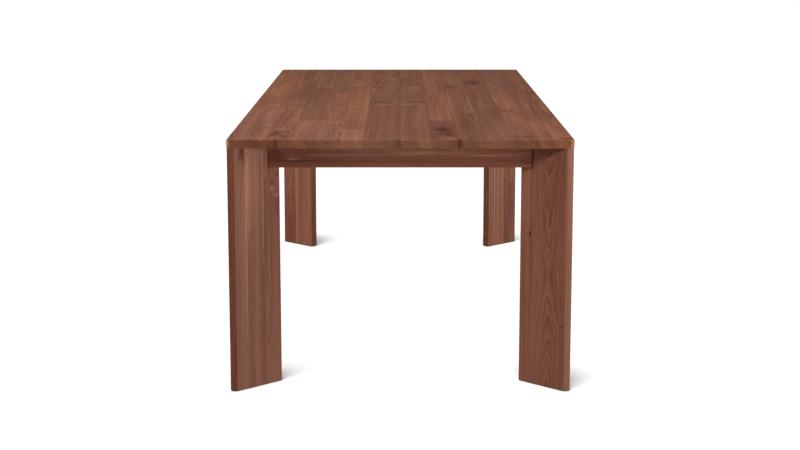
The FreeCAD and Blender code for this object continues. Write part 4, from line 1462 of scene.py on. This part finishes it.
class TABLE_OT_stage(Operator):
    """Set the table in a bright studio and aim the camera at it"""

    bl_idname = "table.set_stage"
    bl_label = "Set Stage"

    def execute(self, context):
        stage = context.scene.table_stage
        floor = self.lay_floor(context, stage)
        self.light_world(context, stage)
        on_table = self.linked_floor(floor, "all_but_floor", "EXCLUDE")
        on_floor = self.linked_floor(floor, "floor_alone", "INCLUDE")
        for name, (place, size) in SOFT_BOXES.items():
            self.hang_light(context, name, getattr(stage, name), place, size, on_table)
        self.light_floor(context, stage, on_floor)
        self.set_camera(context, stage)
        context.scene.view_settings.view_transform = "Standard"
        return {"FINISHED"}

    def set_camera(self, context, stage):
        """Camera at the near end of the table, which looks down a little."""
        data = bpy.data.cameras.new("camera")
        data.lens = stage.lens
        data.sensor_width = SENSOR_WIDTH
        camera = bpy.data.objects.new("camera", data)
        camera.location = stage.camera_place
        camera.rotation_euler = (math.pi / 2 - stage.camera_pitch, 0.0, stage.camera_turn)
        context.scene.collection.objects.link(camera)
        context.scene.camera = camera

    def seen(self, tree):
        """One where the camera, a gloss or a glass looks, zero where light is gathered."""
        path = tree.add("ShaderNodeLightPath").outputs
        seen = tree.math("ADD", path["Is Camera Ray"], path["Is Glossy Ray"])
        return tree.math("ADD", seen, path["Is Transmission Ray"], clamp=True)

    def lay_floor(self, context, stage):
        """White floor that keeps the shadows of the legs and can be looked through from below."""
        reach = stage.floor_reach
        mesh = bpy.data.meshes.new("floor")
        corners = [(-reach, -reach, 0.0), (reach, -reach, 0.0), (reach, reach, 0.0), (-reach, reach, 0.0)]
        mesh.from_pydata(corners, [], [(0, 1, 2, 3)])
        floor = bpy.data.objects.new("floor", mesh)
        context.scene.collection.objects.link(floor)
        material = bpy.data.materials.new("studio_floor")
        material.use_nodes = True
        material.node_tree.nodes.clear()
        tree = Tree(material.node_tree)
        seen = self.seen(tree)
        shade = tree.between(seen, (stage.floor_return, stage.floor_shade))
        paper = tree.add("ShaderNodeBsdfDiffuse", {"Color": shade})
        lift = tree.math("MULTIPLY", seen, stage.floor_lift)
        glow = tree.add("ShaderNodeEmission", {"Strength": lift})
        lit = tree.add("ShaderNodeAddShader", {0: paper.outputs[0], 1: glow.outputs[0]})
        below = tree.add("ShaderNodeNewGeometry").outputs["Backfacing"]
        clear = tree.add("ShaderNodeBsdfTransparent")
        both = tree.add("ShaderNodeMixShader", {0: below, 1: lit.outputs[0], 2: clear.outputs[0]})
        tree.add("ShaderNodeOutputMaterial", {"Surface": both.outputs[0]})
        mesh.materials.append(material)
        return floor

    def linked_floor(self, floor, name, state):
        """Collection that lets a light reach the floor alone or all but the floor."""
        collection = bpy.data.collections.new(name)
        collection.objects.link(floor)
        collection.collection_objects[0].light_linking.link_state = state
        return collection

    def light_world(self, context, stage):
        """White all round: plain where it is seen, weaker where it lights."""
        world = bpy.data.worlds.new("studio")
        world.use_nodes = True
        world.node_tree.nodes.clear()
        tree = Tree(world.node_tree)
        strength = tree.between(self.seen(tree), (stage.ambient, 1.0))
        white = tree.add("ShaderNodeBackground", {"Color": (1.0, 1.0, 1.0, 1.0), "Strength": strength})
        tree.add("ShaderNodeOutputWorld", {"Surface": white.outputs[0]})
        context.scene.world = world

    def light_floor(self, context, stage, on_floor):
        """Steep light on the floor alone, which only the legs stop: it leaves short soft shadows."""
        data = bpy.data.lights.new("floor_light", "SUN")
        data.energy = stage.floor_light
        data.angle = stage.floor_light_spread
        lamp = bpy.data.objects.new("floor_light", data)
        lamp.rotation_mode = "QUATERNION"
        lamp.rotation_quaternion = Vector(FLOOR_LIGHT_WAY).to_track_quat("-Z", "Y")
        lamp.light_linking.receiver_collection = on_floor
        legs = bpy.data.collections.new("legs_alone")
        for corner in CORNERS:
            legs.objects.link(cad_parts[f"leg_{corner}"])
        lamp.light_linking.blocker_collection = legs
        context.scene.collection.objects.link(lamp)

    def hang_light(self, context, name, power, place, size, lit):
        """Soft box that looks at the near half of the table and lights what it is linked to."""
        data = bpy.data.lights.new(name, "AREA")
        data.energy = power
        data.shape = "RECTANGLE"
        data.size, data.size_y = size
        lamp = bpy.data.objects.new(name, data)
        lamp.location = place
        aim = Vector(LIGHT_AIM) - Vector(place)
        lamp.rotation_mode = "QUATERNION"
        lamp.rotation_quaternion = aim.to_track_quat("-Z", "Y")
        lamp.light_linking.receiver_collection = lit
        context.scene.collection.objects.link(lamp)


class TABLE_PT_panel(Panel):
    """Buttons and settings of the table"""

    bl_idname = "TABLE_PT_panel"
    bl_label = "Walnut Dining Table"
    bl_space_type = "VIEW_3D"
    bl_region_type = "UI"
    bl_category = "Table"

    def draw(self, context):
        layout = self.layout
        for operator in OPERATORS:
            layout.operator(operator.bl_idname)
        for settings in (context.scene.table_wood, context.scene.table_hardware, context.scene.table_stage):
            box = layout.box()
            for name in settings.__annotations__:
                box.prop(settings, name)


OPERATORS = (
    TABLE_OT_top, TABLE_OT_legs, TABLE_OT_rails, TABLE_OT_dowels, TABLE_OT_plates, TABLE_OT_bolts,
    TABLE_OT_screws, TABLE_OT_glides, TABLE_OT_stage,
)
CLASSES = (WoodFinish, HardwareFinish, StageSettings, *OPERATORS, TABLE_PT_panel)


def register():
    """Register the classes and their settings on the scene."""
    for cls in CLASSES:
        bpy.utils.register_class(cls)
    bpy.types.Scene.table_wood = PointerProperty(type=WoodFinish)
    bpy.types.Scene.table_hardware = PointerProperty(type=HardwareFinish)
    bpy.types.Scene.table_stage = PointerProperty(type=StageSettings)


def unregister():
    """Take the settings and the classes away again."""
    del bpy.types.Scene.table_stage
    del bpy.types.Scene.table_hardware
    del bpy.types.Scene.table_wood
    for cls in reversed(CLASSES):
        bpy.utils.unregister_class(cls)


def main():
    """Build the looks."""
    register()
    bpy.ops.table.finish_top()
    bpy.ops.table.finish_legs()
    bpy.ops.table.finish_rails()
    bpy.ops.table.finish_dowels()
    bpy.ops.table.finish_plates()
    bpy.ops.table.make_bolts()
    bpy.ops.table.make_screws()
    bpy.ops.table.make_glides()
    bpy.ops.table.set_stage()


if __name__ == "__main__":
    main()
